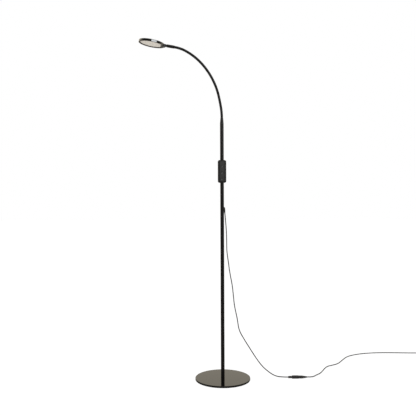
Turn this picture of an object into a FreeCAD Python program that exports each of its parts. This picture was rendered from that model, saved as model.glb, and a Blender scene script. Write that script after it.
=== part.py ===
import FreeCAD, Part
import Sketcher
import math
import os
import re

# A gooseneck reading lamp that stands on the floor. Millimetres, +Z up, the
# floor at z = 0 and the pole's axis at x = y = 0. The neck bends towards -X,
# the buttons face -Y, and the cord leaves the pole towards +X.

DRIVING_SIZES = {
    # Foot: a steel disc on a thin non-slip pad, screwed to the pole from below
    "base_diameter": 235,
    "base_thickness": 7,
    "base_rim_round": 1,
    "pad_diameter": 233,
    "pad_thickness": 1,
    "pad_hole_diameter": 40,
    "recess_diameter": 26,
    "recess_depth": 3,
    "foot_screw_diameter": 6,
    "foot_screw_length": 22,
    "foot_screw_head_diameter": 11,
    "foot_screw_head_height": 2.4,
    "foot_screw_socket": 4,
    "washer_diameter": 20,
    "washer_thickness": 1,
    # Pole: three lengths of one steel tube
    "pole_diameter": 16,
    "pole_wall": 1,
    "pole_joint_height": 425,
    "pole_top": 1093,
    "slug_length": 22,
    "stud_diameter": 8,
    "stud_length": 16,
    "fit_gap": 0.02,
    # Control box, clamped on the pole's two ends
    "box_bottom": 843,
    "box_top": 940,
    "box_width": 36,
    "box_front": 16,
    "box_back": 12,
    "box_side_round": 8,
    "box_end_round": 7.5,
    "shell_wall": 2,
    "pole_grip": 14,
    "board_back": 8.2,
    "board_thickness": 1.6,
    "board_width": 24,
    "board_end_gap": 6,
    "panel_width": 17,
    "panel_end_gap": 7,
    "panel_thickness": 0.5,
    "button_low": 858,
    "button_pitch": 27,
    "button_diameter": 12,
    "button_hole_gap": 0.3,
    "button_proud": 1,
    "button_travel": 0.8,
    "button_flange": 1,
    "button_flange_thickness": 0.8,
    "button_stem_diameter": 4,
    "switch_width": 6,
    "switch_height": 2,
    "case_screw_x": 11,
    "case_screw_end_gap": 7,
    "case_screw_diameter": 2.5,
    "case_screw_head_diameter": 4.6,
    "case_screw_head_height": 2,
    "case_screw_tip": 4,
    "case_screw_sunk": 2.6,
    "board_screw_x": 10.5,
    "board_screw_end_gap": 12,
    "board_screw_diameter": 1.8,
    "board_screw_head_diameter": 3.2,
    "board_screw_head_height": 1.1,
    "board_screw_length": 3.5,
    # Gooseneck and the pieces at its two ends
    "collar_height": 28,
    "collar_top_diameter": 12,
    "collar_gap": 0.1,
    "swivel_diameter": 10,
    "swivel_length": 17,
    "swivel_gap": 0.05,
    "bush_length": 14,
    "clip_diameter": 11.4,
    "clip_thickness": 1.2,
    "clip_groove_diameter": 8.4,
    "neck_diameter": 11,
    "neck_root_diameter": 10.2,
    "neck_bore": 3,
    "neck_spigot_diameter": 7.6,
    "neck_spigot_length": 10,
    "link_length": 49,
    "ball_radius": 3,
    "ball_gap": 0.15,
    "ball_neck_diameter": 4.4,
    "socket_skirt": 0.8,
    "socket_top": 3.3,
    "shoulder": 2.7,
    "sleeve_length": 34,
    "sleeve_diameter": 13,
    "sleeve_taper": 8,
    # Lamp head, a disc in line with the end of the neck
    "head_diameter": 112,
    "head_thickness": 10,
    "head_wall": 2,
    "head_top_wall": 1.5,
    "head_top_round": 1.6,
    "light_board_diameter": 104,
    "light_board_thickness": 1.6,
    "chip_length": 3.5,
    "chip_width": 2.8,
    "chip_height": 0.7,
    "frame_bore": 97,
    "diffuser_diameter": 105,
    "diffuser_thickness": 2,
    "diffuser_recess": 3,
    "bezel_bore": 98,
    "pin_reach": 61.5,
    "pin_diameter": 3,
    "knuckle_radius": 4.5,
    "tongue_width": 6.8,
    "ear_gap": 8.4,
    "ear_thickness": 3.5,
    "wedge_thickness": 2.5,
    "wedge_tip": 38.6,
    "wedge_end": 58,
    "wedge_width": 20,
    "wedge_tip_width": 8,
    # Low voltage lead, its inline connector and the wall adapter
    "cord_diameter": 4.2,
    "exit_height": 735,
    "gland_hole_diameter": 7,
    "gland_reach": 10.6,
    "boot_length": 22,
    "boot_top_diameter": 7,
    "boot_end_diameter": 5.6,
    "connector_x": 281.5,
    "connector_y": 4,
    "connector_height": 7,
    "socket_boot_length": 16,
    "socket_length": 28,
    "socket_diameter": 14,
    "plug_length": 20,
    "plug_boot_length": 17,
    "plug_diameter": 12.4,
    "barrel_diameter": 5.5,
    "barrel_length": 9.5,
    "coil_x": 1075,
    "coil_radius": 28,
    "coil_pitch": 4.7,
    "adapter_x": 1108,
    "adapter_near": 205,
    "adapter_width": 40,
    "adapter_length": 65,
    "adapter_thickness": 26,
    "adapter_wall": 2,
    "adapter_corner": 4,
    "adapter_boot_length": 20,
    "blade_pitch": 12.7,
    "blade_width": 6.3,
    "blade_thickness": 1.5,
    "blade_length": 17,
}

# Turn of each of the neck's eight stretches, in degrees, from the pole upwards
LINK_TURNS = [9.5, 3.5, 9.5, 8.8, 8.8, 10.4, 10.8, 18.7]

doc = FreeCAD.newDocument("ReadingLamp")
sheet = doc.addObject("Spreadsheet::Sheet", "Sizes")
for row, (alias, value) in enumerate(DRIVING_SIZES.items(), start=1):
    sheet.set("A%d" % row, alias)
    sheet.set("B%d" % row, str(value))
    sheet.setAlias("B%d" % row, alias)
doc.recompute()

Vector = FreeCAD.Vector
Rotation = FreeCAD.Rotation
Placement = FreeCAD.Placement
UP = Vector(0, 0, 1)
pieces = []


# ---------------------------------------------------------------- helpers

def size(alias):
    """A driving dimension, read from the sheet."""
    return float(sheet.get(alias))


def bind(item, path, formula):
    """Tie a property to a formula written in the sheet's own size names."""
    def cell(word):
        return "Sizes." + word.group() if word.group() in DRIVING_SIZES else word.group()
    item.setExpression(path, re.sub(r"[a-z_]+", cell, formula))


def piece(item, label, placement=None):
    """Mark an object as one sub-part of the lamp."""
    item.Label = label
    if placement is not None:
        item.Placement = placement
    pieces.append(item)
    return item


def block(name, x_span, y_span, z_span):
    """A box between two formulas along each axis."""
    item = doc.addObject("Part::Box", name)
    for side, axis, span in zip(("Length", "Width", "Height"), "xyz", (x_span, y_span, z_span)):
        bind(item, "Placement.Base." + axis, span[0])
        bind(item, side, "(%s) - (%s)" % (span[1], span[0]))
    return item


def rod(name, diameter, foot, length, turn=None):
    """A cylinder from its foot, along +Z or along +Z turned by turn."""
    item = doc.addObject("Part::Cylinder", name)
    if turn is not None:
        item.Placement = Placement(Vector(), turn)
    for axis, formula in zip("xyz", foot):
        bind(item, "Placement.Base." + axis, formula)
    bind(item, "Radius", "(%s) / 2" % diameter)
    bind(item, "Height", length)
    return item


def cut(name, base, *tools):
    """Base less each of the tools."""
    item = doc.addObject("Part::Cut", name)
    item.Base = base
    item.Tool = tools[0] if len(tools) == 1 else fuse(name + "_tools", *tools)
    return item


def fuse(name, *shapes):
    """Several shapes joined into one."""
    item = doc.addObject("Part::MultiFuse", name)
    item.Shapes = list(shapes)
    return item


def common(name, base, tool):
    """What two shapes share."""
    item = doc.addObject("Part::Common", name)
    item.Base = base
    item.Tool = tool
    return item


def group(name, *shapes):
    """Like pieces kept as separate solids in one sub-part."""
    item = doc.addObject("Part::Compound", name)
    item.Links = list(shapes)
    return item


def formed(name, shape):
    """A shape that Part's own functions made, as an object of the document."""
    item = doc.addObject("Part::Feature", name)
    item.Shape = shape
    return item


def outline(body, role, corners):
    """A closed sketch through corners, each a pair of formulas, on an origin plane."""
    plane = [feature for feature in body.Origin.OriginFeatures if feature.Role == role][0]
    sketch = body.newObject("Sketcher::SketchObject", body.Name + "_outline")
    sketch.AttachmentSupport = [(plane, "")]
    sketch.MapMode = "FlatFace"
    count = len(corners)
    ring = [Vector(math.cos(2 * math.pi * k / count), math.sin(2 * math.pi * k / count), 0) * 20
            for k in range(count)]
    for k in range(count):
        sketch.addGeometry(Part.LineSegment(ring[k], ring[(k + 1) % count]), False)
    for k in range(count):
        sketch.addConstraint(Sketcher.Constraint("Coincident", k, 2, (k + 1) % count, 1))
    for k, corner in enumerate(corners):
        for kind, start, formula in zip(("DistanceX", "DistanceY"), (ring[k].x, ring[k].y), corner):
            index = sketch.addConstraint(Sketcher.Constraint(kind, -1, 1, k, 1, start))
            bind(sketch, "Constraints[%d]" % index, formula)
    return sketch


def turned(name, corners):
    """A body turned about Z from the (radius, height) corners of its half section."""
    body = doc.addObject("PartDesign::Body", name)
    sketch = outline(body, "XZ_Plane", corners)
    turn = body.newObject("PartDesign::Revolution", name + "_turn")
    turn.Profile = sketch
    turn.ReferenceAxis = (sketch, ["V_Axis"])
    turn.Angle = 360
    doc.recompute()
    return body


def slab(name, corners, foot, height):
    """A body raised along Z from the (x, y) corners of its plan, at height foot."""
    body = doc.addObject("PartDesign::Body", name)
    sketch = outline(body, "XY_Plane", corners)
    pad = body.newObject("PartDesign::Pad", name + "_pad")
    pad.Profile = sketch
    bind(pad, "Length", height)
    bind(body, "Placement.Base.z", foot)
    doc.recompute()
    return body


def rounded(body, radius, chosen):
    """Fillet those edges of a body's tip that chosen picks."""
    tip = body.Tip
    names = ["Edge%d" % (k + 1) for k, edge in enumerate(tip.Shape.Edges) if chosen(edge)]
    fillet = body.newObject("PartDesign::Fillet", body.Name + "_round")
    fillet.Base = (tip, names)
    bind(fillet, "Radius", radius)
    doc.recompute()
    return body


def is_upright(edge):
    """True for a straight edge along Z."""
    return abs(edge.tangentAt(edge.FirstParameter).z) > 0.99


def lies_at(height):
    """Picks the edges that lie wholly at one height."""
    def chosen(edge):
        return abs(edge.BoundBox.ZMin - height) < 0.01 and abs(edge.BoundBox.ZMax - height) < 0.01
    return chosen


TOWARDS_FRONT = Rotation(Vector(1, 0, 0), 90)
TOWARDS_BACK = Rotation(Vector(1, 0, 0), -90)


# ---------------------------------------------------------------- foot

BASE_TOP = "pad_thickness + base_thickness"
RECESS_TOP = "pad_thickness + recess_depth"

base_plate = turned("base_plate", [
    ("foot_screw_diameter / 2 + 0.3", RECESS_TOP),
    ("recess_diameter / 2", RECESS_TOP),
    ("recess_diameter / 2", "pad_thickness"),
    ("base_diameter / 2", "pad_thickness"),
    ("base_diameter / 2", BASE_TOP),
    ("foot_screw_diameter / 2 + 0.3", BASE_TOP),
])
rim_height = size("pad_thickness") + size("base_thickness")
rounded(base_plate, "base_rim_round",
        lambda edge: lies_at(rim_height)(edge) and edge.BoundBox.XMax > size("base_diameter") / 4)
piece(base_plate, "base_plate")

piece(turned("base_pad", [
    ("pad_hole_diameter / 2", "0"),
    ("pad_diameter / 2", "0"),
    ("pad_diameter / 2", "pad_thickness"),
    ("pad_hole_diameter / 2", "pad_thickness"),
]), "base_pad")

piece(turned("foot_washer", [
    ("foot_screw_diameter / 2 + 0.2", RECESS_TOP + " - washer_thickness"),
    ("washer_diameter / 2", RECESS_TOP + " - washer_thickness"),
    ("washer_diameter / 2", RECESS_TOP),
    ("foot_screw_diameter / 2 + 0.2", RECESS_TOP),
]), "foot_washer")

HEAD_TOP = RECESS_TOP + " - washer_thickness"
foot_screw_blank = turned("foot_screw_blank", [
    ("0", HEAD_TOP + " - foot_screw_head_height"),
    ("foot_screw_head_diameter / 2 - 0.8", HEAD_TOP + " - foot_screw_head_height"),
    ("foot_screw_head_diameter / 2", HEAD_TOP + " - 0.8"),
    ("foot_screw_head_diameter / 2", HEAD_TOP),
    ("foot_screw_diameter / 2", HEAD_TOP),
    ("foot_screw_diameter / 2", HEAD_TOP + " + foot_screw_length"),
    ("0", HEAD_TOP + " + foot_screw_length"),
])
foot_screw_socket = doc.addObject("Part::Prism", "foot_screw_socket")
foot_screw_socket.Polygon = 6
bind(foot_screw_socket, "Circumradius", "foot_screw_socket / 2 / cos(30)")
bind(foot_screw_socket, "Height", "foot_screw_head_height")
bind(foot_screw_socket, "Placement.Base.z", HEAD_TOP + " - foot_screw_head_height - 1")
piece(cut("foot_screw_cut", foot_screw_blank, foot_screw_socket), "foot_screw")


# ---------------------------------------------------------------- pole

POLE_BORE = "(pole_diameter - 2 * pole_wall)"


def tube(name, low, high):
    """A length of the pole's tube between two heights."""
    return turned(name, [
        (POLE_BORE + " / 2", low),
        ("pole_diameter / 2", low),
        ("pole_diameter / 2", high),
        (POLE_BORE + " / 2", high),
    ])


def pole_slug(name, low, bore):
    """A threaded slug pressed into a pole's end, from height low upwards."""
    return turned(name, [
        (bore + " / 2 + fit_gap", low),
        (POLE_BORE + " / 2 - fit_gap", low),
        (POLE_BORE + " / 2 - fit_gap", low + " + slug_length"),
        (bore + " / 2 + fit_gap", low + " + slug_length"),
    ])


piece(tube("lower_pole", BASE_TOP, "pole_joint_height"), "lower_pole")
piece(pole_slug("foot_slug", BASE_TOP, "foot_screw_diameter"), "foot_slug")
piece(pole_slug("pole_nut", "pole_joint_height - slug_length", "stud_diameter"), "pole_nut")
piece(turned("pole_stud", [
    ("0", "pole_joint_height - stud_length"),
    ("stud_diameter / 2", "pole_joint_height - stud_length"),
    ("stud_diameter / 2", "pole_joint_height"),
    (POLE_BORE + " / 2 - fit_gap", "pole_joint_height"),
    (POLE_BORE + " / 2 - fit_gap", "pole_joint_height + slug_length"),
    ("0", "pole_joint_height + slug_length"),
]), "pole_stud")

# The middle length carries the cord's exit, on its right side and a little behind
EXIT_AZIMUTH = 25
exit_side = Vector(math.cos(math.radians(EXIT_AZIMUTH)), math.sin(math.radians(EXIT_AZIMUTH)), 0)
TOWARDS_EXIT = Rotation(UP, exit_side)
middle_tube = tube("middle_tube", "pole_joint_height", "box_bottom + pole_grip")
exit_hole = rod("exit_hole", "gland_hole_diameter", ("0", "0", "exit_height"), "pole_diameter",
                TOWARDS_EXIT)
piece(cut("middle_tube_cut", middle_tube, exit_hole), "middle_pole")
piece(tube("upper_pole", "box_top - pole_grip", "pole_top"), "upper_pole")


# ---------------------------------------------------------------- control box

def box_form(name, inset):
    """The control box's rounded form, drawn in on every side by inset."""
    half = "(box_width / 2 - %s)" % inset
    body = slab(name, [
        ("-" + half, "-box_front + " + inset),
        (half, "-box_front + " + inset),
        (half, "box_back - " + inset),
        ("-" + half, "box_back - " + inset),
    ], "box_bottom + " + inset, "box_top - box_bottom - 2 * " + inset)
    rounded(body, "box_side_round - " + inset, is_upright)
    low = body.Tip.Shape.BoundBox.ZMin
    high = body.Tip.Shape.BoundBox.ZMax
    rounded(body, "box_end_round - " + inset,
            lambda edge: lies_at(low)(edge) or lies_at(high)(edge))
    return body


FULL_WIDTH = ("-box_width", "box_width")
FULL_HEIGHT = ("box_bottom - 1", "box_top + 1")
outer_form = box_form("outer_form", "0")
inner_form = box_form("inner_form", "shell_wall")
board_room = block("board_room", FULL_WIDTH, ("-box_front", "-board_back"), FULL_HEIGHT)
wire_room = block("wire_room", FULL_WIDTH, ("-box_front", "box_back"),
                  ("box_bottom + pole_grip", "box_top - pole_grip"))
hollow = common("hollow", inner_form, fuse("rooms", board_room, wire_room))
pole_way = rod("pole_way", "pole_diameter + 2 * fit_gap", ("0", "0", "box_bottom - 1"),
               "box_top - box_bottom + 2")
box_skin = cut("box_skin", outer_form, hollow, pole_way)
front_half = block("front_half", FULL_WIDTH, ("-box_front - 1", "0"), FULL_HEIGHT)
rear_half = block("rear_half", FULL_WIDTH, ("0", "box_back + 1"), FULL_HEIGHT)

case_screw_spots = [(side, height) for side in ("-case_screw_x", "case_screw_x")
                    for height in ("box_bottom + case_screw_end_gap", "box_top - case_screw_end_gap")]
screw_ways = []
sinks = []
case_screws = []
for k, (side, height) in enumerate(case_screw_spots):
    screw_ways.append(rod("screw_way_%d" % k, "case_screw_diameter + 2 * fit_gap",
                          (side, "-case_screw_tip", height), "case_screw_tip + box_back",
                          TOWARDS_BACK))
    sinks.append(rod("screw_sink_%d" % k, "case_screw_head_diameter + 0.4",
                     (side, "box_back - case_screw_sunk - case_screw_head_height", height),
                     "case_screw_sunk + case_screw_head_height + 1", TOWARDS_BACK))
    shank = rod("case_shank_%d" % k, "case_screw_diameter", (side, "-case_screw_tip", height),
                "case_screw_tip + box_back - case_screw_sunk - case_screw_head_height",
                TOWARDS_BACK)
    head = rod("case_head_%d" % k, "case_screw_head_diameter",
               (side, "box_back - case_screw_sunk - case_screw_head_height", height),
               "case_screw_head_height", TOWARDS_BACK)
    case_screws.append(fuse("case_screw_%d" % k, shank, head))

board_screw_ways = []
board_screws = []
for k, (side, height) in enumerate([("-board_screw_x", "box_bottom + board_screw_end_gap"),
                                    ("board_screw_x", "box_top - board_screw_end_gap")]):
    board_screw_ways.append(rod("board_way_%d" % k, "board_screw_diameter + 2 * fit_gap",
                                (side, "-board_back - board_thickness", height),
                                "board_thickness + board_screw_length", TOWARDS_BACK))
    shank = rod("board_shank_%d" % k, "board_screw_diameter",
                (side, "-board_back - board_thickness", height),
                "board_thickness + board_screw_length", TOWARDS_BACK)
    head = rod("board_head_%d" % k, "board_screw_head_diameter",
               (side, "-board_back - board_thickness - board_screw_head_height", height),
               "board_screw_head_height", TOWARDS_BACK)
    board_screws.append(fuse("board_screw_%d" % k, shank, head))

BUTTON_HEIGHTS = ["button_low + %d * button_pitch" % k for k in range(3)]
BUTTON_LABELS = ["power_button", "colour_button", "brightness_button"]
button_ways = [rod("button_way_%d" % k, "button_diameter + 2 * button_hole_gap",
                   ("0", "-box_front - 1", height), "shell_wall + 2", TOWARDS_BACK)
               for k, height in enumerate(BUTTON_HEIGHTS)]
PANEL_HALF = "panel_width / 2"
PANEL_ENDS = ("box_bottom + panel_end_gap", "box_top - panel_end_gap")
panel_recess = block("panel_recess", ("-" + PANEL_HALF, PANEL_HALF),
                     ("-box_front - 1", "-box_front + panel_thickness"), PANEL_ENDS)
front_blank = common("front_blank", box_skin, front_half)
piece(cut("front_shell_cut", front_blank, panel_recess, *button_ways, *screw_ways,
          *board_screw_ways), "control_front_shell")
rear_blank = common("rear_blank", box_skin, rear_half)
piece(cut("rear_shell_cut", rear_blank, *screw_ways, *sinks), "control_rear_shell")
piece(group("case_screw_group", *case_screws), "case_screws")
piece(group("board_screw_group", *board_screws), "board_screws")

panel_blank = block("panel_blank", ("-" + PANEL_HALF, PANEL_HALF),
                    ("-box_front", "-box_front + panel_thickness"), PANEL_ENDS)
piece(cut("panel_cut", panel_blank, *button_ways), "control_panel")

board_blank = block("board_blank", ("-board_width / 2", "board_width / 2"),
                    ("-board_back - board_thickness", "-board_back"),
                    ("box_bottom + board_end_gap", "box_top - board_end_gap"))
piece(cut("board_cut", board_blank, *board_screw_ways), "control_board")
switches = [block("switch_%d" % k, ("-switch_width / 2", "switch_width / 2"),
                  ("-board_back - board_thickness - switch_height",
                   "-board_back - board_thickness"),
                  (height + " - switch_width / 2", height + " + switch_width / 2"))
            for k, height in enumerate(BUTTON_HEIGHTS)]
piece(group("switch_group", *switches), "button_switches")

for k, (height, label) in enumerate(zip(BUTTON_HEIGHTS, BUTTON_LABELS)):
    FLANGE_BACK = "-box_front + shell_wall"
    cap = rod("button_cap_%d" % k, "button_diameter", ("0", "-box_front - button_proud", height),
              "button_proud + shell_wall", TOWARDS_BACK)
    flange = rod("button_flange_%d" % k, "button_diameter + 2 * button_flange",
                 ("0", FLANGE_BACK, height), "button_flange_thickness", TOWARDS_BACK)
    stem = rod("button_stem_%d" % k, "button_stem_diameter", ("0", FLANGE_BACK, height),
               "box_front - shell_wall - board_back - board_thickness - switch_height"
               " - button_travel - 0.1", TOWARDS_BACK)
    piece(fuse("button_%d" % k, cap, flange, stem), label)


# ---------------------------------------------------------------- swivel and collar

BUSH_FOOT = "pole_top - bush_length"
piece(turned("swivel_bush", [
    ("swivel_diameter / 2 + swivel_gap", BUSH_FOOT),
    (POLE_BORE + " / 2 - fit_gap", BUSH_FOOT),
    (POLE_BORE + " / 2 - fit_gap", "pole_top"),
    ("swivel_diameter / 2 + swivel_gap", "pole_top"),
]), "swivel_bush")

COLLAR_FOOT = "pole_top + collar_gap"
COLLAR_TOP = "pole_top + collar_height"
GROOVE_TOP = BUSH_FOOT + " - 0.3"
piece(turned("neck_collar", [
    ("neck_bore / 2 + 1", COLLAR_FOOT + " - swivel_length"),
    ("swivel_diameter / 2", COLLAR_FOOT + " - swivel_length"),
    ("swivel_diameter / 2", GROOVE_TOP + " - clip_thickness"),
    ("clip_groove_diameter / 2", GROOVE_TOP + " - clip_thickness"),
    ("clip_groove_diameter / 2", GROOVE_TOP),
    ("swivel_diameter / 2", GROOVE_TOP),
    ("swivel_diameter / 2", COLLAR_FOOT),
    ("pole_diameter / 2", COLLAR_FOOT),
    ("pole_diameter / 2", COLLAR_FOOT + " + 3"),
    ("collar_top_diameter / 2", COLLAR_TOP),
    ("neck_spigot_diameter / 2 + fit_gap", COLLAR_TOP),
    ("neck_spigot_diameter / 2 + fit_gap", COLLAR_TOP + " - neck_spigot_length"),
    ("neck_bore / 2 + 1", COLLAR_TOP + " - neck_spigot_length"),
]), "neck_collar")
piece(turned("swivel_clip", [
    ("clip_groove_diameter / 2", GROOVE_TOP + " - clip_thickness"),
    ("clip_diameter / 2", GROOVE_TOP + " - clip_thickness"),
    ("clip_diameter / 2", GROOVE_TOP),
    ("clip_groove_diameter / 2", GROOVE_TOP),
]), "swivel_clip")


# ---------------------------------------------------------------- gooseneck

RIB_PITCH = 2.53
RIB_STEPS = ((0.06, "neck_root_diameter"), (0.22, "neck_diameter"),
             (0.78, "neck_diameter"), (0.94, "neck_root_diameter"))


def along(turn, reach):
    """Place at reach along a stretch that starts at the origin, up, and bends by turn."""
    length = size("link_length")
    beyond = reach - min(max(reach, 0), length)
    angle = math.radians(turn) * (reach - beyond) / length
    bend = length / math.radians(turn)
    heading = Vector(-math.sin(angle), 0, math.cos(angle))
    spot = Vector(-bend * (1 - math.cos(angle)), 0, bend * math.sin(angle)) + heading * beyond
    return Placement(spot, Rotation(Vector(0, -1, 0), math.degrees(angle)))


def ring_at(turn, reach, diameter):
    """A circle across a stretch; its own X axis stays in the plane of the bend."""
    ring = Part.makeCircle(diameter / 2)
    ring.Placement = along(turn, reach)
    return Part.Wire([ring])


def revolved(corners, placement):
    """A solid turned about Z from (radius, height) corners, then moved to a place."""
    points = [Vector(radius, 0, height) for radius, height in corners]
    face = Part.Face(Part.makePolygon(points + points[:1]))
    solid = face.revolve(Vector(), UP, 360)
    solid.Placement = placement
    return solid


def neck_stretch(turn, first, last):
    """One stretch of ribbed hose: a socket below, a ball above, or a spigot at an end."""
    length = size("link_length")
    spigot = size("neck_spigot_length")
    spigot_radius = size("neck_spigot_diameter") / 2
    low = 0 if first else size("socket_top")
    high = length if last else length - size("shoulder")
    count = round((high - low) / RIB_PITCH)
    pitch = (high - low) / count
    rings = []
    if not first:
        rings.append(ring_at(turn, -size("socket_skirt"), size("neck_diameter")))
        rings.append(ring_at(turn, low, size("neck_diameter")))
    for k in range(count):
        for share, width in RIB_STEPS:
            rings.append(ring_at(turn, low + (k + share) * pitch, size(width)))
    rings.append(ring_at(turn, high, size("neck_diameter" if last else "neck_root_diameter")))
    solid = Part.makeLoft(rings, True, True)
    if first:
        spigot_solid = Part.makeCylinder(spigot_radius, spigot + 0.5, Vector(0, 0, -spigot))
        solid = solid.fuse(spigot_solid)
    else:
        solid = solid.cut(Part.makeSphere(size("ball_radius") + size("ball_gap")))
    top = along(turn, length)
    if last:
        stub = Part.makeCylinder(spigot_radius, spigot + 0.5, Vector(0, 0, -0.5))
        stub.Placement = top
        solid = solid.fuse(stub)
    else:
        ball = Part.makeSphere(size("ball_radius"))
        ball.Placement = top
        root = Part.makeCylinder(size("ball_neck_diameter") / 2, size("shoulder") + 0.4,
                                 Vector(0, 0, -size("shoulder") - 0.4))
        root.Placement = top
        solid = solid.fuse(root.fuse(ball))
    return solid.cut(neck_way(turn))


def neck_way(turn):
    """The bore for the wires, along a whole stretch and out past both its ends."""
    radius = size("neck_bore") / 2
    past = size("neck_spigot_length") + 1
    bend = size("link_length") / math.radians(turn)
    disc = Part.Face(Part.Wire([Part.makeCircle(radius)]))
    way = disc.revolve(Vector(-bend, 0, 0), Vector(0, -1, 0), turn)
    low = Part.makeCylinder(radius, past, Vector(0, 0, -past))
    high = Part.makeCylinder(radius, past)
    high.Placement = along(turn, size("link_length"))
    return way.fuse([low, high])


link_count = len(LINK_TURNS)
link_foot = Placement(Vector(0, 0, size("pole_top") + size("collar_height")), Rotation())
hinges = []
for k, turn in enumerate(LINK_TURNS):
    if k:
        hinges.append(link_foot.Base)
    stretch = formed("stretch_%d" % (k + 1), neck_stretch(turn, k == 0, k == link_count - 1))
    piece(stretch, "neck_link_%d" % (k + 1), link_foot)
    link_foot = link_foot.multiply(along(turn, size("link_length")))
neck_end = link_foot
heading = neck_end.Rotation.multVec(UP)
for k, hinge in enumerate(hinges, start=1):
    print("neck_bend_%d at x %.3f z %.3f" % (k, hinge.x, hinge.z))


# ---------------------------------------------------------------- end sleeve and knuckle

# The head's own frame: its middle at the origin, +X towards the neck, +Z its top. The
# head is turned a little about the end of the neck, so that its far edge is the higher.
HEAD_TWIST = 2.5
head_tilt = math.degrees(math.asin(heading.z))
head_centre = neck_end.Base + heading * (size("sleeve_length") + size("pin_reach") + 5)
head_turn = Rotation(Vector(0, 1, 0), head_tilt).multiply(Rotation(Vector(1, 0, 0), HEAD_TWIST))
head_place = Placement(head_centre, head_turn)
head_pin = head_place.multVec(Vector(size("pin_reach"), 0, 0))
print("head centre x %.3f z %.3f, tilted %.2f" % (head_centre.x, head_centre.z, head_tilt))
tilt_axis = head_turn.multVec(Vector(0, -1, 0))
print("head_tilt at x %.3f z %.3f, axis %.5f %.5f %.5f" % (head_pin.x, head_pin.z, *tilt_axis))
# A piece turned about its own Z lies along the head's X, with its top towards the neck
sleeve_place = head_place.multiply(Placement(Vector(size("pin_reach") + 5, 0, 0),
                                             Rotation(Vector(0, 1, 0), 90)))

piece(turned("end_sleeve", [
    ("neck_bore / 2 + 0.5", "neck_spigot_length"),
    ("neck_spigot_diameter / 2 + fit_gap", "neck_spigot_length"),
    ("neck_spigot_diameter / 2 + fit_gap", "0"),
    ("sleeve_diameter / 2", "0"),
    ("sleeve_diameter / 2", "sleeve_length - sleeve_taper"),
    ("neck_diameter / 2 + 0.4", "sleeve_length"),
    ("neck_spigot_diameter / 2 + fit_gap", "sleeve_length"),
    ("neck_spigot_diameter / 2 + fit_gap", "sleeve_length - neck_spigot_length"),
    ("neck_bore / 2 + 0.5", "sleeve_length - neck_spigot_length"),
]), "end_sleeve", sleeve_place)

TONGUE_HALF = "tongue_width / 2"
tongue_eye = rod("tongue_eye", "2 * knuckle_radius", ("pin_reach", TONGUE_HALF, "0"),
                 "tongue_width", TOWARDS_FRONT)
tongue_bar = block("tongue_bar", ("pin_reach", "pin_reach + 5"), ("-" + TONGUE_HALF, TONGUE_HALF),
                   ("-knuckle_radius", "knuckle_radius"))
tongue_spigot = rod("tongue_spigot", "neck_spigot_diameter", ("pin_reach + 4", "0", "0"),
                    "neck_spigot_length + 1", Rotation(Vector(0, 1, 0), 90))
tongue_hole = rod("tongue_hole", "pin_diameter + 0.1", ("pin_reach", "tongue_width", "0"),
                  "2 * tongue_width", TOWARDS_FRONT)
tongue_solid = fuse("tongue_solid", tongue_eye, tongue_bar, tongue_spigot)
piece(cut("tongue_cut", tongue_solid, tongue_hole), "knuckle_tongue", head_place)

EAR_IN = "ear_gap / 2"
EAR_OUT = "ear_gap / 2 + ear_thickness"
washer_parts = []
ears = []
for k, (near, far) in enumerate([("-(%s)" % EAR_OUT, "-(%s)" % EAR_IN), (EAR_IN, EAR_OUT)]):
    eye = rod("ear_eye_%d" % k, "2 * knuckle_radius", ("pin_reach", far, "0"), "ear_thickness",
              TOWARDS_FRONT)
    root = block("ear_root_%d" % k, ("wedge_end - 6", "pin_reach"), (near, far),
                 ("-knuckle_radius", "knuckle_radius"))
    foot = block("ear_foot_%d" % k, ("wedge_end - 6", "wedge_end"), (near, far),
                 ("-head_thickness / 2 - wedge_thickness", "0"))
    ears += [eye, root, foot]
for k, near in enumerate(["-(%s)" % EAR_IN, TONGUE_HALF]):
    disc = rod("washer_disc_%d" % k, "2 * knuckle_radius - 1",
               ("pin_reach", near + " + ear_gap / 2 - tongue_width / 2", "0"),
               "ear_gap / 2 - tongue_width / 2", TOWARDS_FRONT)
    hole = rod("washer_hole_%d" % k, "pin_diameter + 0.1",
               ("pin_reach", near + " + ear_gap", "0"), "2 * ear_gap", TOWARDS_FRONT)
    washer_parts.append(cut("washer_%d" % k, disc, hole))
piece(group("washer_group", *washer_parts), "friction_washers", head_place)

WEDGE_LOW = "-head_thickness / 2 - wedge_thickness"
wedge = slab("wedge", [
    ("wedge_tip", "-wedge_tip_width / 2 + 2"),
    ("wedge_tip + 2", "-wedge_tip_width / 2"),
    ("wedge_end - 7", "-wedge_width / 2"),
    ("wedge_end", "-wedge_width / 2"),
    ("wedge_end", "wedge_width / 2"),
    ("wedge_end - 7", "wedge_width / 2"),
    ("wedge_tip + 2", "wedge_tip_width / 2"),
    ("wedge_tip", "wedge_tip_width / 2 - 2"),
], WEDGE_LOW, "wedge_thickness")
head_room = rod("head_room", "head_diameter + 2 * fit_gap", ("0", "0", "-head_thickness / 2"),
                "head_thickness + 1")
fork_hole = rod("fork_hole", "pin_diameter + 2 * fit_gap", ("pin_reach", "head_thickness * 2", "0"),
                "head_thickness * 4", TOWARDS_FRONT)
FORK_SCREW_X = "bezel_bore / 2 + 1.7"
fork_screw_ways = []
fork_screws = []
for k, side in enumerate(("-6", "6")):
    fork_screw_ways.append(rod("fork_way_%d" % k, "2 + 2 * fit_gap", (FORK_SCREW_X, side, WEDGE_LOW),
                               "wedge_thickness + 1.8"))
    shank = rod("fork_shank_%d" % k, "2", (FORK_SCREW_X, side, WEDGE_LOW + " + 0.2"),
                "wedge_thickness + 1.5")
    head = rod("fork_head_%d" % k, "3.6", (FORK_SCREW_X, side, WEDGE_LOW + " + 0.2"), "0.9")
    fork_screw_ways.append(rod("fork_sink_%d" % k, "3.8", (FORK_SCREW_X, side, WEDGE_LOW), "1.1"))
    fork_screws.append(fuse("fork_screw_%d" % k, shank, head))
fork_solid = fuse("fork_solid", wedge, *ears)
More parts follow.
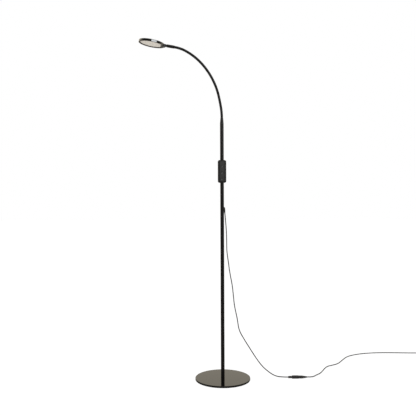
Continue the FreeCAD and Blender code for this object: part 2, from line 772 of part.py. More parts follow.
piece(cut("fork_cut", fork_solid, head_room, fork_hole, *fork_screw_ways), "head_fork", head_place)
piece(group("fork_screw_group", *fork_screws), "fork_screws", head_place)

PIN_OUT = "(ear_gap / 2 + ear_thickness)"
pin_shank = rod("pin_shank", "pin_diameter", ("pin_reach", PIN_OUT + " + 2.6", "0"),
                "2 * " + PIN_OUT + " + 2.6", TOWARDS_FRONT)
pin_head = rod("pin_head", "2 * knuckle_radius - 2.6", ("pin_reach", "-" + PIN_OUT, "0"), "1.8",
               TOWARDS_FRONT)
piece(fuse("pin_solid", pin_shank, pin_head), "tilt_screw", head_place)
nut_blank = doc.addObject("Part::Prism", "nut_blank")
nut_blank.Polygon = 6
nut_blank.Placement = Placement(Vector(), TOWARDS_FRONT)
bind(nut_blank, "Circumradius", "pin_diameter * 1.05")
bind(nut_blank, "Height", "2")
bind(nut_blank, "Placement.Base.x", "pin_reach")
bind(nut_blank, "Placement.Base.y", PIN_OUT + " + 2")
nut_hole = rod("nut_hole", "pin_diameter + 2 * fit_gap", ("pin_reach", PIN_OUT + " + 4", "0"), "6",
               TOWARDS_FRONT)
piece(cut("nut_cut", nut_blank, nut_hole), "tilt_nut", head_place)


# ---------------------------------------------------------------- lamp head

HEAD_R = "head_diameter / 2"
HEAD_TOP_Z = "head_thickness / 2"
CEILING = "head_thickness / 2 - head_top_wall"
BOARD_LOW = CEILING + " - light_board_thickness"
DIFFUSER_LOW = "-head_thickness / 2 + diffuser_recess"
DIFFUSER_TOP = DIFFUSER_LOW + " + diffuser_thickness"

head_cup = turned("head_cup", [
    ("0", CEILING),
    ("head_diameter / 2 - head_wall", CEILING),
    ("head_diameter / 2 - head_wall", "-head_thickness / 2"),
    (HEAD_R, "-head_thickness / 2"),
    (HEAD_R, HEAD_TOP_Z),
    ("0", HEAD_TOP_Z),
])
rounded(head_cup, "head_top_round", lies_at(size("head_thickness") / 2))

LIGHT_SCREWS = [(38 * math.cos(math.radians(a)), 38 * math.sin(math.radians(a)))
                for a in (30, 150, 270)]
light_ways = []
light_screws = []
for k, (x, y) in enumerate(LIGHT_SCREWS):
    spot = ("%.4f" % x, "%.4f" % y)
    light_ways.append(rod("light_way_%d" % k, "1.6 + 2 * fit_gap", (*spot, BOARD_LOW),
                          "light_board_thickness + 1"))
    shank = rod("light_shank_%d" % k, "1.6", (*spot, BOARD_LOW), "light_board_thickness + 0.9")
    head = rod("light_head_%d" % k, "3", (*spot, BOARD_LOW + " - 0.7"), "0.7")
    light_screws.append(fuse("light_screw_%d" % k, shank, head))
piece(cut("head_cup_cut", head_cup, *light_ways), "head_shell", head_place)
piece(group("light_screw_group", *light_screws), "light_screws", head_place)

light_disc = rod("light_disc", "light_board_diameter", ("0", "0", BOARD_LOW),
                 "light_board_thickness")
piece(cut("light_disc_cut", light_disc, *light_ways), "light_board", head_place)

# Light chips in three rings under the board, each ring evenly spaced
CHIP_RINGS = ((45, 24), (30, 16), (14, 8))
chip_low = size("head_thickness") / 2 - size("head_top_wall") - size("light_board_thickness") \
    - size("chip_height")
chips = []
for ring_radius, count in CHIP_RINGS:
    for k in range(count):
        chip = Part.makeBox(size("chip_length"), size("chip_width"), size("chip_height"),
                            Vector(ring_radius - size("chip_length") / 2,
                                   -size("chip_width") / 2, chip_low))
        chip.rotate(Vector(), UP, 360 * (k + 0.5) / count)
        chips.append(chip)
piece(formed("chip_group", Part.makeCompound(chips)), "light_chips", head_place)

piece(turned("light_frame", [
    ("frame_bore / 2", DIFFUSER_TOP),
    ("diffuser_diameter / 2", DIFFUSER_TOP),
    ("diffuser_diameter / 2", BOARD_LOW),
    ("frame_bore / 2 + 1.2", BOARD_LOW),
]), "light_frame", head_place)
piece(turned("diffuser_disc", [
    ("0", DIFFUSER_LOW),
    ("diffuser_diameter / 2", DIFFUSER_LOW),
    ("diffuser_diameter / 2", DIFFUSER_TOP),
    ("0", DIFFUSER_TOP),
]), "diffuser", head_place)

bezel_ring = turned("bezel_ring", [
    ("bezel_bore / 2 + 0.8", "-head_thickness / 2"),
    ("head_diameter / 2 - head_wall - fit_gap", "-head_thickness / 2"),
    ("head_diameter / 2 - head_wall - fit_gap", DIFFUSER_LOW),
    ("bezel_bore / 2", DIFFUSER_LOW),
])
piece(cut("bezel_cut", bezel_ring, *fork_screw_ways), "head_bezel", head_place)


# ---------------------------------------------------------------- routes of the lead

def rounded_route(points, name):
    """Straight runs joined by arcs, each as large as its two shorter runs allow."""
    edges = []
    start = points[0]
    radii = []
    for k in range(1, len(points) - 1):
        here = points[k]
        back = points[k - 1] - here
        onward = points[k + 1] - here
        half_turn = (math.pi - back.getAngle(onward)) / 2
        reach = 0.45 * min(back.Length, onward.Length)
        radius = reach / math.tan(half_turn)
        radii.append(radius)
        back.normalize()
        onward.normalize()
        enter = here + back * reach
        leave = here + onward * reach
        inward = back + onward
        inward.normalize()
        middle = here + inward * radius * (1 / math.cos(half_turn) - 1)
        edges.append(Part.LineSegment(start, enter).toShape())
        edges.append(Part.Arc(enter, middle, leave).toShape())
        start = leave
    edges.append(Part.LineSegment(start, points[-1]).toShape())
    print("%s: radii %s" % (name, " ".join("%.0f" % radius for radius in radii)))
    return Part.Wire(edges)


def tube_along(route, name):
    """The cord's round tube along a route; its volume is set against section by length."""
    start = route.Edges[0]
    profile = Part.Wire([Part.makeCircle(size("cord_diameter") / 2, start.valueAt(start.FirstParameter),
                                         start.tangentAt(start.FirstParameter))])
    solid = route.makePipeShell([profile], True, False)
    section = math.pi * size("cord_diameter") ** 2 / 4
    print("%s: length %.1f, volume over section by length %.5f"
          % (name, route.Length, solid.Volume / (section * route.Length)))
    return solid


# ---------------------------------------------------------------- cord exit

# A soft elbow boot: a plug through the pole's wall that turns down beside the pole
BOOT_LEAN = 6
elbow = exit_side * size("gland_reach") + UP * size("exit_height")
boot_heading = (exit_side * math.sin(math.radians(BOOT_LEAN))
                - UP * math.cos(math.radians(BOOT_LEAN)))
boot_end = elbow + boot_heading * size("boot_length")
PLUG_START = "(pole_diameter / 2 - 2 * pole_wall)"
plug_foot = ("%.6f * %s" % (exit_side.x, PLUG_START), "%.6f * %s" % (exit_side.y, PLUG_START),
             "exit_height")
gland_plug = rod("gland_plug", "gland_hole_diameter - 2 * fit_gap", plug_foot,
                 "gland_reach - " + PLUG_START, TOWARDS_EXIT)
gland_flange = rod("gland_flange", "gland_hole_diameter + 2", plug_foot, "3", TOWARDS_EXIT)
pole_solid = rod("pole_solid", "pole_diameter", ("0", "0", "exit_height - 40"), "80")
gland_elbow = doc.addObject("Part::Sphere", "gland_elbow")
gland_elbow.Placement.Base = elbow
bind(gland_elbow, "Radius", "boot_top_diameter / 2")
gland_boot = doc.addObject("Part::Cone", "gland_boot")
gland_boot.Placement = Placement(elbow, Rotation(UP, boot_heading))
bind(gland_boot, "Radius1", "boot_top_diameter / 2")
bind(gland_boot, "Radius2", "boot_end_diameter / 2")
bind(gland_boot, "Height", "boot_length")
gland_outside = cut("gland_outside", fuse("gland_bend", gland_flange, gland_elbow, gland_boot),
                    pole_solid)
piece(fuse("gland_solid", gland_plug, gland_outside), "cord_gland")

# Inside the pole the same cord climbs from the boot to the control board
exit_level = Vector(0, 0, size("exit_height"))
plug_start = size("pole_diameter") / 2 - 2 * size("pole_wall")
board_rear = -size("board_back")
supply_points = [
    exit_level + exit_side * plug_start,
    exit_level + exit_side,
    exit_level + exit_side * -2.4 + UP * 3.6,
    exit_level + exit_side * -2.9 + UP * 12,
    Vector(-0.8, 0.4, 772),
    Vector(0.9, 0.6, 816),
    Vector(0, 0.6, 854),
    Vector(0, 3.2, 866),
    Vector(0, 1.6, 875),
    Vector(0, -3, 879),
    Vector(0, board_rear, 879),
]
piece(formed("supply_tube", tube_along(rounded_route(supply_points, "supply_cable"),
                                       "supply_cable")), "supply_cable")
head_points = [
    Vector(0, board_rear, 901),
    Vector(0, -3, 901),
    Vector(0, 1.6, 905),
    Vector(0, 3.2, 914),
    Vector(0, 0.8, 927),
    Vector(0.8, -0.4, 967),
    Vector(-0.6, 0.5, 1015),
    Vector(0, 0, 1060),
    Vector(0, 0.3, 1074),
]
piece(formed("head_tube", tube_along(rounded_route(head_points, "head_cable"), "head_cable")),
      "head_cable")


# ---------------------------------------------------------------- free cord and connector

CORD_DROP = [
    (15.4, 6.6, 683), (18.4, 8, 633), (19.4, 9.4, 588), (19.5, 9, 547), (26.6, 8.6, 500),
    (31.4, 9.4, 459), (42.6, 9, 403), (47.1, 7.8, 357), (51.2, 7, 313), (63.8, 6.8, 258),
    (69.4, 7.6, 212), (87.7, 7, 177), (115.7, 6.2, 132.5), (144.2, 6, 87.5), (168.7, 5.4, 54.5),
    (196.2, 4.6, 30), (224.4, 4, 12), (253.6, 4, 7),
]
connector_start = Vector(size("connector_x"), size("connector_y"), size("connector_height"))
first_drop = Vector(*CORD_DROP[0])
drop_points = [boot_end, boot_end + boot_heading * first_drop.distanceToPoint(boot_end)]
drop_points += [Vector(*point) for point in CORD_DROP[1:]] + [connector_start]
drop_route = rounded_route(drop_points, "lamp_cord")
piece(formed("lamp_cord_tube", tube_along(drop_route, "lamp_cord")), "lamp_cord")

# Both halves of the connector are turned about Z, then laid along +X on the floor
ALONG_X = Rotation(Vector(0, 1, 0), 90)
connector_place = Placement(connector_start, ALONG_X)
SOCKET_END = "socket_boot_length + socket_length"
PLUG_END = SOCKET_END + " + plug_length + plug_boot_length"
piece(turned("socket_turned", [
    ("0", "0"),
    ("cord_diameter / 2 + 2.4", "0"),
    ("cord_diameter / 2 + 3.1", "socket_boot_length"),
    ("socket_diameter / 2 - 1", "socket_boot_length"),
    ("socket_diameter / 2", "socket_boot_length + 1.5"),
    ("socket_diameter / 2", SOCKET_END + " - 0.6"),
    ("socket_diameter / 2 - 0.6", SOCKET_END),
    ("barrel_diameter / 2 + 0.1", SOCKET_END),
    ("barrel_diameter / 2 + 0.1", SOCKET_END + " - barrel_length - 0.5"),
    ("0", SOCKET_END + " - barrel_length - 0.5"),
]), "lead_socket", connector_place)
piece(turned("plug_turned", [
    ("0", SOCKET_END),
    ("plug_diameter / 2 - 0.6", SOCKET_END),
    ("plug_diameter / 2", SOCKET_END + " + 0.6"),
    ("plug_diameter / 2", SOCKET_END + " + plug_length - 3"),
    ("cord_diameter / 2 + 3.2", SOCKET_END + " + plug_length"),
    ("cord_diameter / 2 + 0.8", PLUG_END),
    ("0", PLUG_END),
]), "lead_plug", connector_place)
piece(turned("barrel_turned", [
    ("1.1", SOCKET_END + " - barrel_length"),
    ("barrel_diameter / 2", SOCKET_END + " - barrel_length"),
    ("barrel_diameter / 2", SOCKET_END),
    ("1.1", SOCKET_END),
]), "plug_barrel", connector_place)

FLOOR_LIE = 2.15
plug_end = connector_start + Vector(size("socket_boot_length") + size("socket_length")
                                    + size("plug_length") + size("plug_boot_length"), 0, 0)
coil_entry = Vector(size("coil_x") - size("cord_diameter"), 404, FLOOR_LIE)
FLOOR_ROUTE = [
    (379, 4, 7), (393, 14, 6), (404, 34, 4), (418, 53, 2.6), (434, 73, FLOOR_LIE),
    (451, 107, FLOOR_LIE), (471, 150, FLOOR_LIE), (490, 179, FLOOR_LIE), (519, 196, FLOOR_LIE),
    (545, 217, FLOOR_LIE), (567, 251, FLOOR_LIE), (591, 294, FLOOR_LIE), (622, 341, FLOOR_LIE),
    (665, 372, FLOOR_LIE), (716, 394, FLOOR_LIE), (771, 405, FLOOR_LIE), (827, 408, FLOOR_LIE),
    (883, 405, FLOOR_LIE), (937, 400.5, FLOOR_LIE), (988, 399, FLOOR_LIE), (1035, 404, FLOOR_LIE),
]
floor_points = [plug_end] + [Vector(*point) for point in FLOOR_ROUTE] + [coil_entry]
floor_route = rounded_route(floor_points, "adapter_cord")
piece(formed("adapter_cord_tube", tube_along(floor_route, "adapter_cord")), "adapter_cord")


# ---------------------------------------------------------------- coil of put-away cord

COIL_QUARTERS = 13
REVERSAL = 1.75
CLIMB = (1.5, 2.0)
coil_centre = Vector(size("coil_x"), coil_entry.y - size("coil_radius"), FLOOR_LIE)


def coil_spot(turns):
    """Place and heading on the coil after a number of turns, clockwise from its far side."""
    pitch = size("coil_pitch")
    radius = size("coil_radius") - pitch * (turns if turns < REVERSAL else 2 * REVERSAL - turns)
    angle = math.radians(90 - 360 * turns)
    share = min(max((turns - CLIMB[0]) / (CLIMB[1] - CLIMB[0]), 0), 1)
    rise = pitch * (3 - 2 * share) * share ** 2
    slope = 6 * share * (1 - share) * pitch / (CLIMB[1] - CLIMB[0]) / (2 * math.pi * radius)
    drift = 0
    if 0 < turns < COIL_QUARTERS / 4 and turns != REVERSAL:
        drift = (-1 if turns < REVERSAL else 1) * pitch / (2 * math.pi * radius)
    outward = Vector(math.cos(angle), math.sin(angle), 0)
    forward = Vector(math.sin(angle), -math.cos(angle), 0) + outward * drift + UP * slope
    forward.normalize()
    return coil_centre + outward * radius + UP * rise, forward


def half_arc(start, heading_in, end):
    """The arc from start, leaving along heading_in, that ends at end."""
    chord = end - start
    angle = heading_in.getAngle(chord)
    side = heading_in - chord * (heading_in.dot(chord) / chord.Length ** 2)
    side.normalize()
    middle = start + chord * 0.5 + side * (chord.Length / 2 * math.tan(angle / 2))
    return Part.Arc(start, middle, end)


def biarc(start, heading_in, end, heading_out):
    """Two arcs from start to end that match both headings and each other's."""
    chord = end - start
    both = heading_in + heading_out
    sharp = 2 * (1 - heading_in.dot(heading_out))
    along_both = chord.dot(both)
    reach = (math.sqrt(along_both ** 2 + sharp * chord.dot(chord)) - along_both) / sharp
    joint = (start + heading_in * reach + end - heading_out * reach) * 0.5
    first = half_arc(start, heading_in, joint)
    second = half_arc(end, heading_out * -1, joint)
    return [first, Part.Arc(joint, second.value((second.FirstParameter + second.LastParameter) / 2),
                            end)]


coil_edges = [Part.LineSegment(coil_entry, coil_spot(0)[0]).toShape()]
for quarter in range(COIL_QUARTERS):
    start, heading_in = coil_spot(quarter / 4)
    end, heading_out = coil_spot((quarter + 1) / 4)
    coil_edges += [arc.toShape() for arc in biarc(start, heading_in, end, heading_out)]
coil_end, coil_heading = coil_spot(COIL_QUARTERS / 4)
tail_start = coil_end + coil_heading * size("cord_diameter")
coil_edges.append(Part.LineSegment(coil_end, tail_start).toShape())
coil_route = Part.Wire(coil_edges)
piece(formed("coil_tube", tube_along(coil_route, "cord_coil")), "cord_coil")

samples = []
travelled = 0
for edge in coil_route.Edges:
    steps = max(2, int(edge.Length / 0.6))
    for k in range(steps):
        spot = edge.valueAt(edge.FirstParameter
                            + (edge.LastParameter - edge.FirstParameter) * k / steps)
        samples.append((travelled + edge.Length * k / steps, spot))
    travelled += edge.Length
SAME_TURN = 40
least = min(a[1].distanceToPoint(b[1]) for i, a in enumerate(samples) for b in samples[i + 1:]
            if b[0] - a[0] > SAME_TURN)
print("cord_coil: least gap to itself %.2f" % (least - size("cord_diameter")))


# ---------------------------------------------------------------- wall adapter

adapter_mid = size("adapter_thickness") / 2
boot_mouth = Vector(size("adapter_x"), size("adapter_near") + size("adapter_length")
                    + size("adapter_boot_length"), adapter_mid)
tail_points = [
    tail_start,
    tail_start + coil_heading * 20,
    Vector(1106, 333, 8.5),
    boot_mouth + Vector(0, 21, 0),
    boot_mouth,
]
tail_route = rounded_route(tail_points, "adapter_tail")
piece(formed("adapter_tail_tube", tube_along(tail_route, "adapter_tail")), "adapter_tail")
adapter_lead = floor_route.Length + coil_route.Length + tail_route.Length
print("lamp lead %.0f, adapter lead %.0f" % (drop_route.Length, adapter_lead))

adapter_boot = doc.addObject("Part::Cone", "adapter_boot_cone")
adapter_boot.Placement = Placement(boot_mouth, TOWARDS_FRONT)
bind(adapter_boot, "Radius1", "cord_diameter / 2 + 0.9")
bind(adapter_boot, "Radius2", "cord_diameter / 2 + 2.6")
bind(adapter_boot, "Height", "adapter_boot_length")
piece(adapter_boot, "adapter_boot")


def adapter_plan(inset):
    """The adapter's rectangle in plan, drawn in by inset."""
    near = "adapter_near + " + inset
    far = "adapter_near + adapter_length - " + inset
    left = "adapter_x - adapter_width / 2 + " + inset
    right = "adapter_x + adapter_width / 2 - " + inset
    return [(left, near), (right, near), (right, far), (left, far)]


def adapter_half(name, low, room_low, outer_face):
    """Half of the adapter's case, hollow towards its parting line."""
    half = slab(name + "_form", adapter_plan("0"), low, "adapter_thickness / 2")
    rounded(half, "adapter_corner", is_upright)
    rounded(half, "adapter_corner / 2", lies_at(outer_face))
    room = slab(name + "_room", adapter_plan("adapter_wall"), room_low,
                "adapter_thickness / 2 - adapter_wall")
    rounded(room, "adapter_corner - adapter_wall", is_upright)
    return cut(name + "_hollow", half, room)


piece(adapter_half("cover", "0", "adapter_wall", 0), "adapter_cover")
# The bodies stand at their own foot, so the upper half's outer face is at half the thickness
plate_blank = adapter_half("plate", "adapter_thickness / 2", "adapter_thickness / 2", adapter_mid)
blade_ways = []
blades = []
for k, side in enumerate(("-blade_pitch / 2", "blade_pitch / 2")):
    span_x = ("adapter_x + %s - blade_thickness / 2" % side,
              "adapter_x + %s + blade_thickness / 2" % side)
    span_y = ("adapter_near + adapter_length / 2 - blade_width / 2",
              "adapter_near + adapter_length / 2 + blade_width / 2")
    blades.append(block("blade_%d" % k, span_x, span_y,
                        ("adapter_thickness - 6", "adapter_thickness + blade_length")))
    blade_ways.append(block("blade_way_%d" % k, span_x, span_y,
                            ("adapter_thickness - 7", "adapter_thickness + 1")))
piece(cut("plate_cut", plate_blank, *blade_ways), "adapter_plate")
piece(group("blade_group", *blades), "adapter_blades")

circuit = block("circuit", ("adapter_x - 16", "adapter_x + 16"),
                ("adapter_near + 5", "adapter_near + adapter_length - 5"),
                ("adapter_wall", "adapter_wall + 1.6"))
transformer = block("transformer", ("adapter_x - 9", "adapter_x + 9"),
                    ("adapter_near + 14", "adapter_near + 34"),
                    ("adapter_wall + 1.6", "adapter_wall + 14"))
capacitor = rod("capacitor", "8", ("adapter_x - 9", "adapter_near + 48", "adapter_wall + 1.6"), "12")
piece(fuse("circuit_solid", circuit, transformer, capacitor), "adapter_board")


# ---------------------------------------------------------------- check and write

doc.recompute()
for item in doc.Objects:
    if "Invalid" in item.State or "Error" in item.State:
        raise RuntimeError("%s is %s" % (item.Label, item.State))
os.makedirs("parts", exist_ok=True)
for item in pieces:
    if item.Shape.isNull() or not item.Shape.isValid() or not item.Shape.Solids:
        raise RuntimeError("%s has no sound solid" % item.Label)
    item.Shape.exportStep(os.path.join("parts", item.Label + ".step"))
print("%d sub-parts written" % len(pieces))
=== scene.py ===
import math

import bmesh
import bpy
from mathutils import Matrix, Vector


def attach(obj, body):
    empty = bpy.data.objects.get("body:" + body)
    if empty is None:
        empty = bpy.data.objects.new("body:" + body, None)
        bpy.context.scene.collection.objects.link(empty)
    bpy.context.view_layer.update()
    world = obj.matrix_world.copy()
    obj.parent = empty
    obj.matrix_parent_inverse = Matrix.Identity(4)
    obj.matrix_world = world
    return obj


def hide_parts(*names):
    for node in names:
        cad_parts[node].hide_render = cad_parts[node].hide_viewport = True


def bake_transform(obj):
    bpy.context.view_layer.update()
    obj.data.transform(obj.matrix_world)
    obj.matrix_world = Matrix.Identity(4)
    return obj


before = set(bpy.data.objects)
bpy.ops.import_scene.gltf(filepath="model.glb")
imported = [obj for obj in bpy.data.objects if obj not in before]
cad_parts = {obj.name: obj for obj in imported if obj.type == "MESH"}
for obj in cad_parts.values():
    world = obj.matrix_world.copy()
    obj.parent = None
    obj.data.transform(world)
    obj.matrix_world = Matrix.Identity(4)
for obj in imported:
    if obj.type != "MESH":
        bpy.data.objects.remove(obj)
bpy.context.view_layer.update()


def placed(name, data):
    """A new object of some data, put in the scene."""
    item = bpy.data.objects.new(name, data)
    bpy.context.collection.objects.link(item)
    return item


# ---------------------------------------------------------------- viewpoint
# The photograph was taken from 2.3 m away at half the lamp's height, with the
# camera level and turned 0.2 degrees about its line of sight.

PICTURE_SIDE = 416
FOCAL_PIXELS = 542.6
SENSOR = 36.0
CAMERA_ROLL = 0.004
camera_data = bpy.data.cameras.new("viewpoint")
camera_data.sensor_width = SENSOR
camera_data.lens = FOCAL_PIXELS / PICTURE_SIDE * SENSOR
camera = placed("viewpoint", camera_data)
camera.location = (-0.0607, -2.329, 0.7351)
camera.rotation_euler = (math.pi / 2, CAMERA_ROLL, 0)
bpy.context.scene.camera = camera


# ---------------------------------------------------------------- lead
# A round two-core cord in soft black vinyl. It leaves the pole through the elbow
# boot, hangs to the floor, and is cut by an inline connector; the adapter's cord
# runs on over the floor, and its unused length lies coiled beside the adapter.

MM = 0.001
UP = Vector((0, 0, 1))


class Flow:
    """What a node gives out, so that sums and products are plain expressions."""

    def __init__(self, graph, socket):
        self.graph = graph
        self.socket = socket

    def work(self, operation, first, second=0.0):
        return self.graph.node("ShaderNodeMath", {"operation": operation}, {0: first, 1: second})

    def __add__(self, other):
        return self.work("ADD", self, other)

    def __radd__(self, other):
        return self.work("ADD", other, self)

    def __sub__(self, other):
        return self.work("SUBTRACT", self, other)

    def __rsub__(self, other):
        return self.work("SUBTRACT", other, self)

    def __mul__(self, other):
        return self.work("MULTIPLY", self, other)

    def __rmul__(self, other):
        return self.work("MULTIPLY", other, self)

    def __truediv__(self, other):
        return self.work("DIVIDE", self, other)

    def __pow__(self, other):
        return self.work("POWER", self, other)


class Graph:
    """A node tree that grows one node at a time."""

    def __init__(self, tree):
        self.tree = tree

    def node(self, kind, settings, values, output=0):
        """Add a node: first its settings, then the values or links of its sockets."""
        made = self.tree.nodes.new(kind)
        for name, value in settings.items():
            if name == "stops":
                stops = made.color_ramp.elements
                while len(stops) < len(value):
                    stops.new(1.0)
                for stop, (place, colour) in zip(stops, value):
                    stop.position = place
                    stop.color = (*colour, 1.0)
            else:
                setattr(made, name, value)
        for name, value in values.items():
            self.join(value, made.inputs[name])
        return Flow(self, made.outputs[output])

    def join(self, value, socket):
        """Link a flow to a socket, or set a plain value on it."""
        if isinstance(value, Flow):
            self.tree.links.new(value.socket, socket)
        else:
            socket.default_value = value

    def blend(self, factor, low, high):
        """Colour from low to high."""
        return self.node("ShaderNodeMix", {"data_type": "RGBA"},
                         {0: factor, 6: tint(low), 7: tint(high)}, 2)


class Finish(Graph):
    """A surface finish. What is the same all over is set on the shader itself."""

    def __init__(self, name, **fixed):
        self.material = bpy.data.materials.new(name)
        self.material.use_nodes = True
        super().__init__(self.material.node_tree)
        self.shader = self.tree.nodes["Principled BSDF"]
        for socket, value in fixed.items():
            self.shader.inputs[socket.replace("_", " ")].default_value = value
        self.place = self.node("ShaderNodeTexCoord", {}, {}, "Object")

    def grain(self, scale, detail=3.0, stretch=(1, 1, 1)):
        """Noise from 0 to 1, with about scale blotches to the metre."""
        spot = self.place
        if stretch != (1, 1, 1):
            spot = self.node("ShaderNodeMapping", {}, {"Vector": spot, "Scale": stretch})
        return self.node("ShaderNodeTexNoise", {}, {"Vector": spot, "Scale": scale, "Detail": detail})

    def pits(self, scale):
        """Distance from 0 to 1 to the nearest of many scattered spots."""
        return self.node("ShaderNodeTexVoronoi", {}, {"Vector": self.place, "Scale": scale})

    def ramp(self, factor, *stops):
        """Grey or coloured stops along a factor."""
        return self.node("ShaderNodeValToRGB", {"stops": stops}, {"Fac": factor})

    def wear(self, colour, roughness, relief=None, depth=0.0):
        """Give the shader its colour, its roughness and a relief of depth metres."""
        self.join(colour, self.shader.inputs["Base Color"])
        self.join(roughness, self.shader.inputs["Roughness"])
        if relief is not None:
            self.join(self.node("ShaderNodeBump", {}, {"Height": relief, "Distance": depth}),
                      self.shader.inputs["Normal"])
        return self.material


def tint(colour):
    """A colour with its opacity, or a flow as it is."""
    return colour if isinstance(colour, Flow) else (*colour, 1.0)


def dress(material, *names):
    """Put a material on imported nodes."""
    for name in names:
        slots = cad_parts[name].data.materials
        slots.clear()
        slots.append(material)


def finished(item, material, slot, body, *nodes):
    """Give a new piece its material and body, and hide the nodes that it stands for; the slot is not
    used.
    """
    item.data.materials.append(material)
    if body:
        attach(item, body)
    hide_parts(*nodes)
    return item


sheath = Finish("cord_sheath")
sheath_smear = sheath.grain(38)
sheath_skin = sheath.grain(1900, 2.0)
cord_sheath = sheath.wear(
    sheath.blend(sheath_smear, (0.010, 0.009, 0.008), (0.022, 0.020, 0.018)),
    0.40 + 0.16 * sheath_smear,
    sheath_skin, 0.00006)

CORD_RADIUS = 2.1
CORD_DIAMETER = 2 * CORD_RADIUS * MM


def cord(name, route):
    """A round cord with the route's points as control points."""
    line = bpy.data.curves.new(name, "CURVE")
    line.dimensions = "3D"
    spline = line.splines.new("NURBS")
    spline.points.add(len(route) - 1)
    for point, place in zip(spline.points, route):
        point.co = (*place, 1.0)
    spline.order_u = 3
    spline.use_endpoint_u = True
    spline.resolution_u = 8
    line.bevel_depth = CORD_DIAMETER / 2
    line.bevel_resolution = 5
    line.use_fill_caps = True
    return placed(name, line)


EXIT_AZIMUTH = math.radians(25)
EXIT_HEIGHT = 735 * MM
BOOT_REACH = 10.6 * MM
BOOT_LEAN = math.radians(6)
BOOT_LENGTH = 22 * MM
exit_side = Vector((math.cos(EXIT_AZIMUTH), math.sin(EXIT_AZIMUTH), 0))
elbow = exit_side * BOOT_REACH + UP * EXIT_HEIGHT
boot_heading = exit_side * math.sin(BOOT_LEAN) - UP * math.cos(BOOT_LEAN)
boot_end = elbow + boot_heading * BOOT_LENGTH

CORD_DROP = [
    (15.4, 6.6, 683), (18.4, 8, 633), (19.4, 9.4, 588), (19.5, 9, 547), (26.6, 8.6, 500),
    (31.4, 9.4, 459), (42.6, 9, 403), (47.1, 7.8, 357), (51.2, 7, 313), (63.8, 6.8, 258),
    (69.4, 7.6, 212), (87.7, 7, 177), (115.7, 6.2, 132.5), (144.2, 6, 87.5), (168.7, 5.4, 54.5),
    (196.2, 4.6, 30), (224.4, 4, 12), (253.6, 4, 7),
]
CONNECTOR_START = Vector((281.5, 4, 7)) * MM
drop = [Vector(point) * MM for point in CORD_DROP]
# The first point only says how far the cord keeps the boot's heading.
lamp_route = [boot_end, boot_end + boot_heading * (drop[0] - boot_end).length, *drop[1:],
              CONNECTOR_START]
hanging_cord = finished(cord("hanging_cord", lamp_route), cord_sheath, "cord_sheath", "stand",
                        "lamp_cord")

CONNECTOR_LENGTH = 81 * MM
plug_end = CONNECTOR_START + Vector((CONNECTOR_LENGTH, 0, 0))
LIE = 2.15
FLOOR_ROUTE = [
    (379, 4, 7), (393, 14, 6), (404, 34, 4), (418, 53, 2.6), (434, 73, LIE),
    (451, 107, LIE), (471, 150, LIE), (490, 179, LIE), (519, 196, LIE), (545, 217, LIE),
    (567, 251, LIE), (591, 294, LIE), (622, 341, LIE), (665, 372, LIE), (716, 394, LIE),
    (771, 405, LIE), (827, 408, LIE), (883, 405, LIE), (937, 400.5, LIE), (988, 399, LIE),
    (1035, 404, LIE),
]
COIL_MIDDLE = Vector((1075, 376, LIE))
COIL_RADIUS = 28
COIL_PITCH = 4.7
COIL_TURNS = 3.25
REVERSAL = 1.75
CLIMB = (1.5, 2.0)
POINTS_A_TURN = 24


def coil_spot(turns):
    """Place on the coil: it spirals in, climbs a layer at the reversal and spirals out."""
    radius = COIL_RADIUS - COIL_PITCH * (turns if turns < REVERSAL else 2 * REVERSAL - turns)
    angle = math.radians(90 - 360 * turns)
    share = min(max((turns - CLIMB[0]) / (CLIMB[1] - CLIMB[0]), 0), 1)
    rise = COIL_PITCH * (3 - 2 * share) * share ** 2
    return COIL_MIDDLE + Vector((math.cos(angle) * radius, math.sin(angle) * radius, rise))


coil_entry = COIL_MIDDLE + Vector((-CORD_DIAMETER / MM, COIL_RADIUS, 0))
coil = [coil_spot(step / POINTS_A_TURN) for step in range(round(COIL_TURNS * POINTS_A_TURN) + 1)]
ADAPTER_X = 1108
BOOT_MOUTH = Vector((ADAPTER_X, 290, 13))
tail_start = coil[-1] - Vector((0, CORD_DIAMETER / MM, 0))
tail = [tail_start, tail_start - Vector((0, 20, 0)), Vector((1106, 333, 8.5)),
        BOOT_MOUTH + Vector((0, 21, 0)), BOOT_MOUTH]
floor_route = [plug_end] + [Vector(point) * MM
                            for point in [*FLOOR_ROUTE, coil_entry, *coil, *tail]]
floor_cord = finished(cord("floor_cord", floor_route), cord_sheath, "cord_sheath", "stand",
                      "adapter_cord", "cord_coil", "adapter_tail")
dress(cord_sheath, "supply_cable", "head_cable")


# ---------------------------------------------------------------- inline connector
# Two mouldings in satin black vinyl, one on each cord's end, that push together
# over a nickel barrel. Each ends in a ribbed boot that keeps the cord from kinking.

ARC_STEPS = 5
HOLD = 0.35


def eased(corners, steps=ARC_STEPS):
    """Points along corners of (across, up, rounding), with an arc at each rounded one."""
    points = []
    for k, (across, up, rounding) in enumerate(corners):
        here = Vector((across, up))
        if not rounding:
            points.append(here)
            continue
        back = (Vector(corners[k - 1][:2]) - here).normalized()
        onward = (Vector(corners[(k + 1) % len(corners)][:2]) - here).normalized()
        half = back.angle(onward) / 2
        reach = rounding / math.tan(half)
        middle = here + (back + onward).normalized() * rounding / math.sin(half)
        start = here + back * reach
        end = here + onward * reach
        sweep = math.pi - 2 * half
        points.append(start + back * rounding * HOLD)
        for step in range(steps + 1):
            share = step / steps
            spoke = ((start - middle) * math.sin((1 - share) * sweep)
                     + (end - middle) * math.sin(share * sweep)) / math.sin(sweep)
            points.append(middle + spoke)
        points.append(end + onward * rounding * HOLD)
    return points


